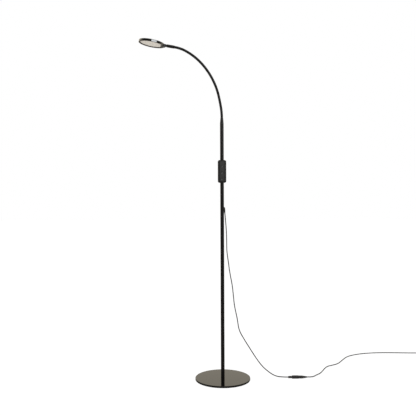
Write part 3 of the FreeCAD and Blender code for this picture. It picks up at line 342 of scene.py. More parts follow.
def turned(name, outline, count, place=Matrix(), flute=None):
    """A solid turned about Z from its half section in mm, closed on the axis or on itself."""
    shape = bmesh.new()
    rings = []
    for radius, height in outline:
        if radius < 1e-6:
            rings.append([shape.verts.new((0, 0, height))])
            continue
        ring = []
        for k in range(count):
            angle = 2 * math.pi * k / count
            there = radius if flute is None else flute(radius, height, angle)
            ring.append(shape.verts.new((there * math.cos(angle), there * math.sin(angle), height)))
        rings.append(ring)
    pairs = list(zip(rings, rings[1:]))
    if len(rings[0]) > 1:
        pairs.append((rings[-1], rings[0]))
    for low, high in pairs:
        for k in range(count):
            beside = (k + 1) % count
            corners = [low[k % len(low)], low[beside % len(low)],
                       high[beside % len(high)], high[k % len(high)]]
            corners = [c for i, c in enumerate(corners) if c not in corners[:i]]
            if len(corners) > 2:
                shape.faces.new(corners)
    return solid(name, shape, place)


SHARP = math.radians(38)


def solid(name, shape, place=Matrix()):
    """An object of a closed shape in mm, put in place in its own mesh, its faces outward."""
    bmesh.ops.recalc_face_normals(shape, faces=shape.faces)
    shape.transform(place @ Matrix.Scale(MM, 4))
    mesh = bpy.data.meshes.new(name)
    shape.to_mesh(mesh)
    shape.free()
    mesh.shade_smooth()
    mesh.set_sharp_from_angle(angle=SHARP)
    return placed(name, mesh)


moulded = Finish("moulded_black")
moulded_cloud = moulded.grain(90)
moulded_black = moulded.wear(
    moulded.blend(moulded_cloud, (0.018, 0.017, 0.016), (0.036, 0.034, 0.032)),
    0.36 + 0.18 * moulded_cloud,
    moulded.grain(2600, 2.0), 0.00008)

along_cord = Matrix.Translation(CONNECTOR_START) @ Matrix.Rotation(math.pi / 2, 4, "Y")


def ribbed(start, end, low, high, ribs, depth):
    """Corners of a tapered boot from start to end, with square grooves between its ribs."""
    corners = []
    for k in range(ribs):
        for share, drop_in in ((0.0, 0), (0.55, 0), (0.62, depth), (0.93, depth)):
            place = (k + share) / ribs
            radius = low + (high - low) * place - drop_in
            corners.append((radius, start + (end - start) * place, 0.18 if share else 0))
    corners[0] = (low, start, 0.3)
    return corners


def finger_grip(first, last, depth, flutes):
    """Shallow flutes round a moulding between two heights, fading out at both."""
    def grip(radius, height, angle):
        span = min(max((height - first) / 2, 0), 1) * min(max((last - height) / 2, 0), 1)
        return radius - depth * span * (0.5 - 0.5 * math.cos(flutes * angle)) ** 2
    return grip


def filled(corners, step):
    """More points along an outline's long runs, so that flutes have something to bend."""
    points = []
    for here, there in zip(corners, corners[1:]):
        pieces = max(1, round((there - here).length / step))
        points += [here.lerp(there, k / pieces) for k in range(pieces)]
    return points + [corners[-1]]


SOCKET_BOOT = 16
SOCKET_END = 44
SOCKET_RADIUS = 7
BARREL_RADIUS = 2.85
socket_corners = [
    (0, 0, 0),
    *ribbed(0, SOCKET_BOOT - 1, CORD_RADIUS + 2.4, CORD_RADIUS + 3.1, 5, 0.7),
    (CORD_RADIUS + 3.1, SOCKET_BOOT, 0),
    (SOCKET_RADIUS - 0.9, SOCKET_BOOT, 0),
    (SOCKET_RADIUS, SOCKET_BOOT + 1.5, 0.8),
    (SOCKET_RADIUS, SOCKET_END - 8, 0.2),
    (SOCKET_RADIUS - 0.35, SOCKET_END - 7.6, 0.2),
    (SOCKET_RADIUS - 0.35, SOCKET_END - 6.4, 0.2),
    (SOCKET_RADIUS, SOCKET_END - 6, 0.2),
    (SOCKET_RADIUS, SOCKET_END, 0.6),
    (BARREL_RADIUS, SOCKET_END, 0.2),
    (BARREL_RADIUS, SOCKET_END - 10, 0),
    (0, SOCKET_END - 10, 0),
]
socket_half = turned("socket_half", filled(eased(socket_corners, 3), 1.0), 96, along_cord,
                     finger_grip(SOCKET_BOOT + 3, SOCKET_END - 9, 0.3, 24))
finished(socket_half, moulded_black, "moulded_black", "stand", "lead_socket")

PLUG_RADIUS = 6.2
PLUG_BODY = 20
PLUG_BOOT = 17
plug_boot_corners = ribbed(0, PLUG_BOOT - 0.5, CORD_RADIUS + 0.8, CORD_RADIUS + 3.2, 6, 0.6)
plug_corners = [
    (0, SOCKET_END, 0),
    (PLUG_RADIUS, SOCKET_END, 0.6),
    (PLUG_RADIUS, SOCKET_END + PLUG_BODY - 4, 1.2),
    (CORD_RADIUS + 3.2, SOCKET_END + PLUG_BODY, 0),
    *[(radius, CONNECTOR_LENGTH / MM - height, rounding)
      for radius, height, rounding in reversed(plug_boot_corners)],
    (0, CONNECTOR_LENGTH / MM, 0),
]
plug_half = turned("plug_half", filled(eased(plug_corners, 3), 1.0), 96, along_cord,
                   finger_grip(SOCKET_END + 2, SOCKET_END + PLUG_BODY - 5, 0.3, 24))
finished(plug_half, moulded_black, "moulded_black", "stand", "lead_plug")

nickel = Finish("nickel_contact", Metallic=1.0)
nickel_haze = nickel.grain(300)
nickel_contact = nickel.wear(
    nickel.blend(nickel_haze, (0.62, 0.60, 0.56), (0.76, 0.74, 0.70)),
    0.14 + 0.16 * nickel_haze,
    nickel.grain(900, 2.0, (1, 1, 12)), 0.00002)
dress(nickel_contact, "plug_barrel", "adapter_blades")


# ---------------------------------------------------------------- wall adapter
# Two halves of fine-grained black plastic, glued along a parting line, on a small
# circuit. Two nickel blades stand out of the upper half, and a ribbed boot guards the cord.

case = Finish("black_plastic")
case_cloud = case.grain(60)
case_grain = case.pits(1500)
black_plastic = case.wear(
    case.blend(case_cloud, (0.010, 0.009, 0.008), (0.018, 0.0165, 0.015)),
    0.44 + 0.14 * case_cloud,
    case_grain, 0.00006)
dress(black_plastic, "adapter_cover", "adapter_plate", "control_front_shell", "control_rear_shell")

board = Finish("circuit_board", Coat_Weight=0.4, Coat_Roughness=0.2)
board_weave = board.node("ShaderNodeTexWave", {"bands_direction": "X"},
                         {"Vector": board.place, "Scale": 700, "Distortion": 1.5})
circuit_board = board.wear(
    board.blend(board_weave, (0.010, 0.070, 0.030), (0.022, 0.120, 0.055)),
    0.38 + 0.12 * board.grain(200),
    board_weave, 0.00003)
dress(circuit_board, "adapter_board", "control_board")

ADAPTER_BOOT = 20
adapter_boot_corners = [
    (0, 0, 0),
    *ribbed(0, ADAPTER_BOOT - 2, CORD_RADIUS + 0.9, CORD_RADIUS + 2.6, 6, 0.6),
    (CORD_RADIUS + 2.6, ADAPTER_BOOT - 2, 0),
    (CORD_RADIUS + 2.6, ADAPTER_BOOT, 0),
    (0, ADAPTER_BOOT, 0),
]
adapter_strain_relief = turned(
    "adapter_strain_relief", eased(adapter_boot_corners, 3), 64,
    Matrix.Translation(BOOT_MOUTH * MM) @ Matrix.Rotation(math.pi / 2, 4, "X"))
finished(adapter_strain_relief, moulded_black, "moulded_black", "stand", "adapter_boot")


# ---------------------------------------------------------------- foot
# A heavy steel disc with a rounded rim, in gloss black paint that mirrors the room.
# A foam ring under it keeps it from sliding, and one screw holds it to the pole.

PLATE_RADIUS = 117.5
PLATE_LOW = 1
PLATE_TOP = 8
RECESS_RADIUS = 13
RECESS_TOP = 4
SCREW_HOLE = 3.3
plate_corners = [
    (SCREW_HOLE, RECESS_TOP, 0.15), (RECESS_RADIUS, RECESS_TOP, 0.15),
    (RECESS_RADIUS, PLATE_LOW, 0.3), (PLATE_RADIUS, PLATE_LOW, 0.3),
    (PLATE_RADIUS, PLATE_TOP, 1.0), (SCREW_HOLE, PLATE_TOP, 0.15),
]
foot_plate = turned("foot_plate", eased(plate_corners, 8), 256)

gloss = Finish("gloss_black_steel", IOR=1.5)
gloss_wave = gloss.grain(160, 2.0)
gloss_haze = gloss.grain(14)
gloss_dust = gloss.ramp(gloss.pits(330), (0.0, (1, 1, 1)), (0.05, (1, 1, 1)), (0.09, (0, 0, 0)))
gloss_black_steel = gloss.wear(
    gloss.blend(gloss_dust, gloss.blend(gloss_haze, (0.0035, 0.003, 0.0028), (0.006, 0.005, 0.0045)),
                (0.05, 0.048, 0.044)),
    0.06 + 0.07 * gloss_haze,
    gloss_wave, 0.00004)
finished(foot_plate, gloss_black_steel, "gloss_black_steel", "stand", "base_plate")

foam = Finish("foam_rubber")
foam_cells = foam.pits(2200)
foam_rubber = foam.wear(
    foam.blend(foam_cells, (0.012, 0.012, 0.012), (0.05, 0.05, 0.05)),
    0.78 + 0.2 * foam_cells,
    foam_cells, 0.0004)
dress(foam_rubber, "base_pad")

zinc = Finish("zinc_steel", Metallic=1.0)
zinc_spangle = zinc.pits(700)
zinc_steel = zinc.wear(
    zinc.blend(zinc_spangle, (0.42, 0.44, 0.46), (0.60, 0.61, 0.62)),
    0.26 + 0.2 * zinc_spangle,
    zinc.grain(1200), 0.00003)
dress(zinc_steel, "foot_washer", "foot_screw", "foot_slug", "pole_nut", "pole_stud", "swivel_clip",
      "board_screws", "light_screws")


# ---------------------------------------------------------------- pole
# Thin steel tube in three lengths, in satin black powder coat with a fine orange
# peel. The lower two screw together, and the control box holds the upper two.

satin = Finish("satin_black_steel")
satin_peel = satin.grain(1300, 2.0)
satin_cloud = satin.grain(22)
satin_black_steel = satin.wear(
    satin.blend(satin_cloud, (0.005, 0.004, 0.0035), (0.009, 0.0075, 0.0065)),
    0.30 + 0.14 * satin_cloud,
    satin_peel, 0.00002)
dress(satin_black_steel, "lower_pole", "middle_pole", "upper_pole", "neck_collar", "end_sleeve")


# ---------------------------------------------------------------- cord exit
# A soft vinyl elbow boot. Its plug snaps into a hole in the pole, a small flange hides
# the hole's edge, and its ribbed sleeve turns down beside the pole.

GLAND_BORE_RADIUS = 3.48
POLE_RADIUS = 8
BOOT_TOP = 3.5
BOOT_TIP = 2.8
ROUND_SIDES = 48


def swept(name, stations):
    """A closed round form through stations of (middle, heading, radius), in mm."""
    shape = bmesh.new()
    rings = []
    for middle, heading, radius in stations:
        aside = UP.cross(exit_side).normalized()
        above = heading.cross(aside).normalized()
        rings.append([shape.verts.new(middle + (aside * math.cos(a) + above * math.sin(a)) * radius)
                      for a in (2 * math.pi * k / ROUND_SIDES for k in range(ROUND_SIDES))])
    for low, high in zip(rings, rings[1:]):
        for k in range(ROUND_SIDES):
            beside = (k + 1) % ROUND_SIDES
            shape.faces.new((low[k], low[beside], high[beside], high[k]))
    for ring in (rings[0], rings[-1]):
        shape.faces.new(ring)
    return solid(name, shape)


exit_level = UP * EXIT_HEIGHT / MM
flange_out = POLE_RADIUS + 0.5
stations = [(exit_level + exit_side * (POLE_RADIUS - 2), exit_side, GLAND_BORE_RADIUS - 0.1),
            (exit_level + exit_side * (POLE_RADIUS - 1), exit_side, GLAND_BORE_RADIUS),
            (exit_level + exit_side * (POLE_RADIUS - 0.35), exit_side, GLAND_BORE_RADIUS),
            (exit_level + exit_side * (POLE_RADIUS - 0.3), exit_side, 4.4),
            (exit_level + exit_side * flange_out, exit_side, 4.45),
            (exit_level + exit_side * (flange_out + 0.25), exit_side, 4.2)]
BEND_RADIUS = BOOT_REACH / MM - flange_out - 0.25
bend_middle = exit_level + exit_side * (flange_out + 0.25) - UP * BEND_RADIUS
BEND_STEPS = 8
BOOT_SWELL = 0.45
for step in range(BEND_STEPS + 1):
    turn = math.pi / 2 * step / BEND_STEPS
    heading = exit_side * math.cos(turn) - UP * math.sin(turn)
    outward = exit_side * math.sin(turn) + UP * math.cos(turn)
    stations.append((bend_middle + outward * BEND_RADIUS, heading,
                     BOOT_TOP + BOOT_SWELL * (1 - step / BEND_STEPS)))
boot_foot = stations[-1][0]
boot_run = boot_end / MM - boot_foot
for radius, reach, rounding in ribbed(1.5, boot_run.length - 0.6, BOOT_TOP, BOOT_TIP, 6, 0.45):
    stations.append((boot_foot + boot_run.normalized() * reach, boot_heading, radius))
stations.append((boot_end / MM, boot_heading, BOOT_TIP - 0.25))
exit_boot = swept("exit_boot", stations)
finished(exit_boot, moulded_black, "moulded_black", "stand", "cord_gland")


# ---------------------------------------------------------------- control box
# Two black plastic shells clamp the pole's two ends and are held by four screws from
# behind. A charcoal strip is let in round three round keys, which press tact switches.

panel = Finish("grey_panel")
panel_cloud = panel.grain(120)
grey_panel = panel.wear(
    panel.blend(panel_cloud, (0.026, 0.024, 0.022), (0.040, 0.037, 0.034)),
    0.34 + 0.16 * panel_cloud,
    panel.grain(3000, 2.0), 0.00006)
dress(grey_panel, "control_panel")
dress(moulded_black, "button_switches")

button = Finish("button_plastic")
button_cloud = button.grain(200)
button_plastic = button.wear(
    button.blend(button_cloud, (0.024, 0.022, 0.021), (0.036, 0.034, 0.032)),
    0.30 + 0.14 * button_cloud,
    button.pits(1900), 0.00006)

ink = Finish("button_ink")
button_ink = ink.wear(
    ink.blend(ink.grain(2500), (0.16, 0.16, 0.155), (0.26, 0.26, 0.25)),
    0.5 + 0.2 * ink.grain(900))

BOX_FRONT = 16
KEY_RADIUS = 6
KEY_PROUD = 1
SHELL_WALL = 2
KEY_LOW = 858
KEY_PITCH = 27
DISH = 0.45


def dish_depth(radius):
    """How far the key's hollowed face lies under its rim."""
    return DISH * (1 - (radius / (KEY_RADIUS - 0.6)) ** 2)


key_outline = [Vector((radius, -KEY_PROUD + dish_depth(radius)))
               for radius in (0, 0.9, 1.8, 2.7, 3.6, 4.4, 5.0, 5.4)]
key_outline += eased([(5.4, -KEY_PROUD, 0), (KEY_RADIUS, -KEY_PROUD, 0.35), (KEY_RADIUS, SHELL_WALL, 0),
                      (KEY_RADIUS + 1, SHELL_WALL, 0.1), (KEY_RADIUS + 1, SHELL_WALL + 0.8, 0.1),
                      (2, SHELL_WALL + 0.8, 0), (2, SHELL_WALL + 1.3, 0.1),
                      (0, SHELL_WALL + 1.3, 0)])[1:]


def bar(shape, start, end, width):
    """A printed stroke from start to end on a key's face, each (across, up) in mm."""
    start, end = Vector(start), Vector(end)
    side = (end - start).orthogonal().normalized() * width / 2
    strip([(start - side, start + side), (end - side, end + side)], shape)


def hoop(shape, radius, width, low, high):
    """A printed arc between two angles in degrees."""
    pairs = []
    count = max(2, round((high - low) / 10))
    for k in range(count + 1):
        angle = math.radians(low + (high - low) * k / count)
        spoke = Vector((math.cos(angle), math.sin(angle)))
        pairs.append((spoke * max(radius - width / 2, 0.01), spoke * (radius + width / 2)))
    strip(pairs, shape)


INK_PROUD = 0.06


def strip(pairs, shape):
    """A thin closed ribbon of ink over a key's hollowed face."""
    levels = []
    for lift in (INK_PROUD, -INK_PROUD):
        levels.append([[shape.verts.new((p.x, dish_depth(p.length) - KEY_PROUD - lift, p.y))
                        for p in pair] for pair in pairs])
    top, foot = levels
    for k in range(len(pairs) - 1):
        for a, b, c, d in ((top[k][0], top[k][1], top[k + 1][1], top[k + 1][0]),
                           (foot[k][0], foot[k + 1][0], foot[k + 1][1], foot[k][1]),
                           (top[k][0], top[k + 1][0], foot[k + 1][0], foot[k][0]),
                           (top[k][1], foot[k][1], foot[k + 1][1], top[k + 1][1])):
            shape.faces.new((a, b, c, d))
    for k in (0, -1):
        shape.faces.new((top[k][0], top[k][1], foot[k][1], foot[k][0]))


def power_sign(shape):
    """A ring open at its top with an upright stroke."""
    hoop(shape, 1.9, 0.45, 125, 415)
    bar(shape, (0, 0.7), (0, 2.6), 0.45)


def colour_sign(shape):
    """A ring with its right half filled, for warm and cool light."""
    hoop(shape, 2.0, 0.4, 0, 360)
    hoop(shape, 0.75, 1.5, -90, 90)


def brightness_sign(shape):
    """A small sun."""
    hoop(shape, 1.05, 0.4, 0, 360)
    for k in range(8):
        spoke = Vector((math.cos(k * math.pi / 4), math.sin(k * math.pi / 4)))
        bar(shape, spoke * 1.75, spoke * 2.6, 0.4)


for k, (label, sign) in enumerate((("power", power_sign), ("colour", colour_sign),
                                   ("brightness", brightness_sign))):
    key_place = Matrix.Translation(Vector((0, -BOX_FRONT, KEY_LOW + k * KEY_PITCH)) * MM)
    key = turned(label + "_cap", key_outline, 72, key_place @ Matrix.Rotation(-math.pi / 2, 4, "X"))
    finished(key, button_plastic, "button_plastic", label + "_key", label + "_button")
    mark_shape = bmesh.new()
    sign(mark_shape)
    mark = solid(label + "_mark", mark_shape, key_place)
    finished(mark, button_ink, "button_plastic", label + "_key")


# ---------------------------------------------------------------- screws that show
# Blackened steel machine screws with a low domed head and a cross recess: four hold
# the box's shells, two hold the fork under the head, and one is the head's tilt pin.

dark_screw = Finish("blackened_steel", Metallic=0.8)
screw_cloud = dark_screw.grain(700)
blackened_steel = dark_screw.wear(
    dark_screw.blend(screw_cloud, (0.030, 0.029, 0.028), (0.075, 0.072, 0.070)),
    0.30 + 0.2 * screw_cloud,
    dark_screw.grain(2200), 0.00004)
dress(blackened_steel, "tilt_nut")


SQUARE = ((-1, -1), (1, -1), (1, 1), (-1, 1))


def cross_screw(head_radius, head_height, shank_radius, length, name="screw"):
    """A screw in mm with its head's top at z = 0 and its shank down, cut by a cross."""
    dome = head_height * 0.22
    corners = [(0, 0, 0), (head_radius * 0.6, -dome * 0.36, 0), (head_radius, -dome - 0.1, 0.12),
               (head_radius, -head_height, 0.08), (shank_radius, -head_height, 0.1),
               (shank_radius, -length, 0.25), (0, -length, 0)]
    blank = turned(name, eased(corners, 3), 40)
    for turn in (0, math.pi / 2):
        arm = head_radius * 0.62
        half = head_radius * 0.13
        depth = head_height * 0.6
        shape = bmesh.new()
        top = [shape.verts.new((x * arm, y * half, 0.5)) for x, y in SQUARE]
        low = [shape.verts.new((x * arm * 0.45, y * half * 0.8, -depth)) for x, y in SQUARE]
        shape.faces.new(top)
        shape.faces.new(low)
        for k in range(4):
            shape.faces.new((top[k], top[(k + 1) % 4], low[(k + 1) % 4], low[k]))
        cutter = solid("recess", shape, Matrix.Rotation(turn, 4, "Z"))
        knife = blank.modifiers.new("recess", "BOOLEAN")
        knife.operation = "DIFFERENCE"
        knife.solver = "EXACT"
        knife.object = cutter
        baked(blank)
        bpy.data.objects.remove(cutter)
    return blank


def baked(item):
    """Apply what an object's modifiers make of it to its own mesh."""
    graph = bpy.context.evaluated_depsgraph_get()
    graph.update()
    mesh = bpy.data.meshes.new_from_object(item.evaluated_get(graph))
    item.modifiers.clear()
    item.data = mesh
    return item


def tree(name, inputs):
    """A Geometry Nodes tree with named inputs: (name, socket kind)."""
    made = bpy.data.node_groups.new(name, "GeometryNodeTree")
    made.interface.new_socket("Geometry", in_out="INPUT", socket_type="NodeSocketGeometry")
    for label, kind in inputs:
        made.interface.new_socket(label, in_out="INPUT", socket_type=kind)
    made.interface.new_socket("Geometry", in_out="OUTPUT", socket_type="NodeSocketGeometry")
    graph = Graph(made)
    entry = made.nodes.new("NodeGroupInput")
    graph.entry = {socket.name: Flow(graph, socket) for socket in entry.outputs if socket.name}
    return graph


def ended(graph, geometry, material):
    """Close a tree: instances made real, then the material."""
    real = graph.node("GeometryNodeRealizeInstances", {}, {"Geometry": geometry})
    painted = graph.node("GeometryNodeSetMaterial", {}, {"Geometry": real, "Material": material})
    graph.join(painted, graph.tree.nodes.new("NodeGroupOutput").inputs[0])


def grown(item, graph, values):
    """Run a tree on an object, with its inputs set by identifier, and keep the mesh."""
    modifier = item.modifiers.new(graph.tree.name, "NODES")
    modifier.node_group = graph.tree
    for socket in graph.tree.interface.items_tree:
        if socket.in_out == "INPUT" and socket.name in values:
            modifier[socket.identifier] = values[socket.name]
    return baked(item)


screw_tree = tree("screws_on_points", [("Screw", "NodeSocketObject"), ("Turn", "NodeSocketVector")])
screw_source = screw_tree.node("GeometryNodeObjectInfo", {}, {"Object": screw_tree.entry["Screw"]},
                               "Geometry")
screw_spin = screw_tree.node("FunctionNodeRandomValue", {"data_type": "FLOAT"},
                             {"Min": 0.0, "Max": math.pi / 2, "Seed": 7}, 1)
screw_yaw = screw_tree.node("ShaderNodeCombineXYZ", {}, {"Z": screw_spin})
screw_pose = screw_tree.node("FunctionNodeRotateEuler", {"rotation_type": "EULER", "space": "LOCAL"},
                             {"Rotation": screw_tree.entry["Turn"], "Rotate By": screw_yaw})
screw_copies = screw_tree.node("GeometryNodeInstanceOnPoints", {}, {
    "Points": screw_tree.entry["Geometry"], "Instance": screw_source, "Rotation": screw_pose})
ended(screw_tree, screw_copies, blackened_steel)


def screws(name, spots, turn, screw, body, *nodes):
    """Like screws at spots in metres, turned alike and spun each its own way."""
    mesh = bpy.data.meshes.new(name)
    mesh.from_pydata([tuple(spot) for spot in spots], [], [])
    item = placed(name, mesh)
    grown(item, screw_tree, {"Screw": screw, "Turn": tuple(turn)})
    bpy.data.objects.remove(screw)
    item.data.materials.clear()
    return finished(item, blackened_steel, "blackened_steel", body, *nodes)


CASE_SCREW_X = 11
CASE_SCREW_BACK = 9.4
case_spots = [Vector((x, CASE_SCREW_BACK, z)) * MM
              for x in (-CASE_SCREW_X, CASE_SCREW_X) for z in (850, 933)]
screws("box_screws", case_spots, (-math.pi / 2, 0, 0), cross_screw(2.3, 2, 1.25, 13.4), "stand",
       "case_screws")


# ---------------------------------------------------------------- swivel
# A tapered steel collar carries the gooseneck and turns in an acetal bush in the
# pole's top; a spring clip under the bush keeps it in.

acetal = Finish("acetal")
acetal_cloud = acetal.grain(150)
dress(acetal.wear(acetal.blend(acetal_cloud, (0.66, 0.65, 0.60), (0.76, 0.75, 0.71)),
                  0.34 + 0.14 * acetal_cloud, acetal.grain(1500), 0.00004), "swivel_bush")


# ---------------------------------------------------------------- gooseneck
# A hose of wound steel, black, whose turns show as fine ribs. It runs from the collar
# to the sleeve in nine stretches, cut midway between the hinges. The first rides neck_1
# and the last neck_8; the seven inner ones are put on no body.

LINK_LENGTH = 49
LINK_TURNS = [9.5, 3.5, 9.5, 8.8, 8.8, 10.4, 10.8, 18.7]
NECK_FOOT = 1121
CREST = 5.5
ROOT = 5.1
RIB_PITCH = 2.53


def neck_spot(reach):
    """Place and heading on the neck's centre line, in mm, at a reach from the collar."""
    place = Vector((0, 0, NECK_FOOT))
    lean = 0.0
    for degrees in LINK_TURNS:
        part = min(reach, LINK_LENGTH)
        turn = math.radians(degrees)
        bend = LINK_LENGTH / turn
        swept_angle = turn * part / LINK_LENGTH
        ahead = Vector((-math.sin(lean), 0, math.cos(lean)))
        inside = Vector((-math.cos(lean), 0, -math.sin(lean)))
        place = (place + ahead * bend * math.sin(swept_angle)
                 + inside * bend * (1 - math.cos(swept_angle)))
        lean += swept_angle
        reach -= part
        if reach <= 0:
            break
    return place, Vector((-math.sin(lean), 0, math.cos(lean)))


hose = Finish("ribbed_neck")
hose_crest = hose.node("ShaderNodeAttribute", {"attribute_name": "crest"}, {}, "Fac")
hose_cloud = hose.grain(60)
ribbed_neck = hose.wear(
    hose.blend(hose_crest * hose_cloud, (0.0035, 0.003, 0.003), (0.014, 0.013, 0.012)),
    0.62 - 0.16 * hose_crest,
    hose.grain(2400, 2.0), 0.00004)

hose_tree = tree("wound_hose", [("Start", "NodeSocketFloat"), ("Pitch", "NodeSocketFloat"),
                                ("Crest", "NodeSocketFloat"), ("Root", "NodeSocketFloat"),
                                ("Sides", "NodeSocketInt")])
give = hose_tree.entry
line = hose_tree.node("GeometryNodeMeshToCurve", {}, {"Mesh": give["Geometry"]})
line = hose_tree.node("GeometryNodeResampleCurve", {"mode": "LENGTH"},
                      {"Curve": line, "Length": give["Pitch"] / 10.0})


def kept(graph, geometry, name, kind, value):
    """Store a named value on each point."""
    return graph.node("GeometryNodeStoreNamedAttribute", {"data_type": kind, "domain": "POINT"},
                      {"Geometry": geometry, "Name": name, "Value": value})


def recalled(graph, name, kind):
    """A value stored before under a name."""
    return graph.node("GeometryNodeInputNamedAttribute", {"data_type": kind}, {"Name": name})


line = kept(hose_tree, line, "reach", "FLOAT",
            hose_tree.node("GeometryNodeSplineParameter", {}, {}, "Length") + give["Start"])
line = kept(hose_tree, line, "middle", "FLOAT_VECTOR",
            hose_tree.node("GeometryNodeInputPosition", {}, {}))
line = kept(hose_tree, line, "heading", "FLOAT_VECTOR",
            hose_tree.node("GeometryNodeInputTangent", {}, {}))
ring = hose_tree.node("GeometryNodeCurvePrimitiveCircle", {"mode": "RADIUS"},
                      {"Resolution": give["Sides"], "Radius": give["Root"]})
skin = hose_tree.node("GeometryNodeCurveToMesh", {},
                      {"Curve": line, "Profile Curve": ring, "Fill Caps": True})
spoke = hose_tree.node("ShaderNodeVectorMath", {"operation": "SUBTRACT"},
                       {0: hose_tree.node("GeometryNodeInputPosition", {}, {}),
                        1: recalled(hose_tree, "middle", "FLOAT_VECTOR")})
outward = hose_tree.node("ShaderNodeVectorMath", {"operation": "NORMALIZE"}, {0: spoke})
upper_side = hose_tree.node("ShaderNodeVectorMath", {"operation": "CROSS_PRODUCT"},
                            {0: (0.0, 1.0, 0.0), 1: recalled(hose_tree, "heading", "FLOAT_VECTOR")})
across = hose_tree.node("ShaderNodeVectorMath", {"operation": "DOT_PRODUCT"},
                        {0: outward, 1: upper_side}, "Value")
beside = hose_tree.node("ShaderNodeVectorMath", {"operation": "DOT_PRODUCT"},
                        {0: outward, 1: (0.0, 1.0, 0.0)}, "Value")
angle = beside.work("ARCTAN2", beside, across)
phase = (recalled(hose_tree, "reach", "FLOAT") / give["Pitch"] - angle / (2 * math.pi))
saw = phase.work("FRACT", phase)
profile = 1.0 - (2.0 * saw - 1.0) ** 4.0
rise = profile * (give["Crest"] - give["Root"])
skin = hose_tree.node("GeometryNodeSetPosition", {}, {
    "Geometry": kept(hose_tree, skin, "crest", "FLOAT", profile),
    "Offset": hose_tree.node("ShaderNodeVectorMath", {"operation": "SCALE"},
                             {0: outward, "Scale": rise})})
ended(hose_tree, hose_tree.node("GeometryNodeSetShadeSmooth", {}, {"Geometry": skin}), ribbed_neck)

neck_length = LINK_LENGTH * len(LINK_TURNS)
LINE_STEP = 1.0
BLEND_REACH = 21
cuts = [0] + [LINK_LENGTH * (k + 0.5) for k in range(len(LINK_TURNS))] + [neck_length]
for k, (low, high) in enumerate(zip(cuts, cuts[1:])):
    steps = round((high - low) / LINE_STEP)
    line_points = [neck_spot(low + (high - low) * step / steps)[0] * MM
                   for step in range(steps + 1)]
    mesh = bpy.data.meshes.new("neck_hose_%d" % (k + 1))
    mesh.from_pydata(line_points, [(step, step + 1) for step in range(steps)], [])
    stretch = placed("neck_hose_%d" % (k + 1), mesh)
    grown(stretch, hose_tree, {"Start": low * MM, "Pitch": RIB_PITCH * MM, "Crest": CREST * MM,
                               "Root": ROOT * MM, "Sides": 40})
    stretch.data.materials.clear()
    stretch.data.set_sharp_from_angle(angle=math.radians(70))
    stood_for = ["neck_link_%d" % n for n in (k, k + 1) if 1 <= n <= len(LINK_TURNS)]
    if 0 < k < len(LINK_TURNS):
        finished(stretch, ribbed_neck, "ribbed_neck", None, *stood_for)
        hinge, heading = neck_spot(LINK_LENGTH * k)
        "neck_%d" % k
        "neck_%d" % (k + 1)
        (hinge - heading * BLEND_REACH) * MM
        (hinge + heading * BLEND_REACH) * MM
        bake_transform(stretch)
    else:
        finished(stretch, ribbed_neck, "ribbed_neck", "neck_1" if k == 0 else "neck_8", *stood_for)


# ---------------------------------------------------------------- knuckle
# A friction hinge between the neck's sleeve and the head: a tongue on the neck's side
# between two ears of the head's fork, with nylon washers and a screw with a nut.

knuckle = Finish("knuckle_grey", Metallic=0.6)
knuckle_cloud = knuckle.grain(260)
knuckle_grey = knuckle.wear(
    knuckle.blend(knuckle_cloud, (0.070, 0.068, 0.064), (0.125, 0.120, 0.114)),
    0.36 + 0.16 * knuckle_cloud,
    knuckle.grain(2600, 2.0), 0.00005)
dress(knuckle_grey, "knuckle_tongue", "head_fork")

nylon = Finish("nylon_washer")
nylon_cloud = nylon.grain(500)
dress(nylon.wear(nylon.blend(nylon_cloud, (0.16, 0.16, 0.155), (0.24, 0.24, 0.23)),
                 0.4 + 0.1 * nylon_cloud, nylon.grain(2000), 0.00003), "friction_washers")

SLEEVE_LENGTH = 34
PIN_REACH = 61.5
TONGUE_REACH = 5
neck_end, end_heading = neck_spot(neck_length)
head_lean = math.asin(end_heading.z)
head_middle = neck_end + end_heading * (SLEEVE_LENGTH + PIN_REACH + TONGUE_REACH)
HEAD_TWIST = math.radians(2.5)
head_turn = Matrix.Rotation(head_lean, 4, "Y") @ Matrix.Rotation(HEAD_TWIST, 4, "X")
head_place = Matrix.Translation(head_middle * MM) @ head_turn

HEAD_HALF = 5
WEDGE_LOW = -7.5
EAR_OUT = 7.7
FORK_SCREW_REACH = 50.7
FORK_SCREW_SIDE = 6
fork_spots = [head_place @ (Vector((FORK_SCREW_REACH, side, WEDGE_LOW + 0.2)) * MM)
              for side in (-FORK_SCREW_SIDE, FORK_SCREW_SIDE)]
screws("fork_pins", fork_spots, (head_turn @ Matrix.Rotation(math.pi, 4, "X")).to_euler(),
       cross_screw(1.8, 0.9, 1.0, 4.0), "head", "fork_screws")
pin_spot = head_place @ (Vector((PIN_REACH, -EAR_OUT - 1.8, 0)) * MM)
screws("tilt_pin", [pin_spot], (head_turn @ Matrix.Rotation(math.pi / 2, 4, "X")).to_euler(),
       cross_screw(3.2, 1.8, 1.5, 19.8), "head", "tilt_screw")


# ---------------------------------------------------------------- lamp head
# A shallow turned aluminium cup in gloss black lacquer. A round board with its light
# chips is screwed inside; an opal disc covers them, and a thin gloss bezel holds it in.

HEAD_RADIUS = 56
CEILING = 3.5
cup_corners = [(0, CEILING, 0), (HEAD_RADIUS - 2, CEILING, 0.4), (HEAD_RADIUS - 2, -HEAD_HALF, 0.25),
               (HEAD_RADIUS, -HEAD_HALF, 0.4), (HEAD_RADIUS, HEAD_HALF, 1.6), (0, HEAD_HALF, 0)]
head_cup = turned("head_cup", eased(cup_corners, 8), 192, head_place)

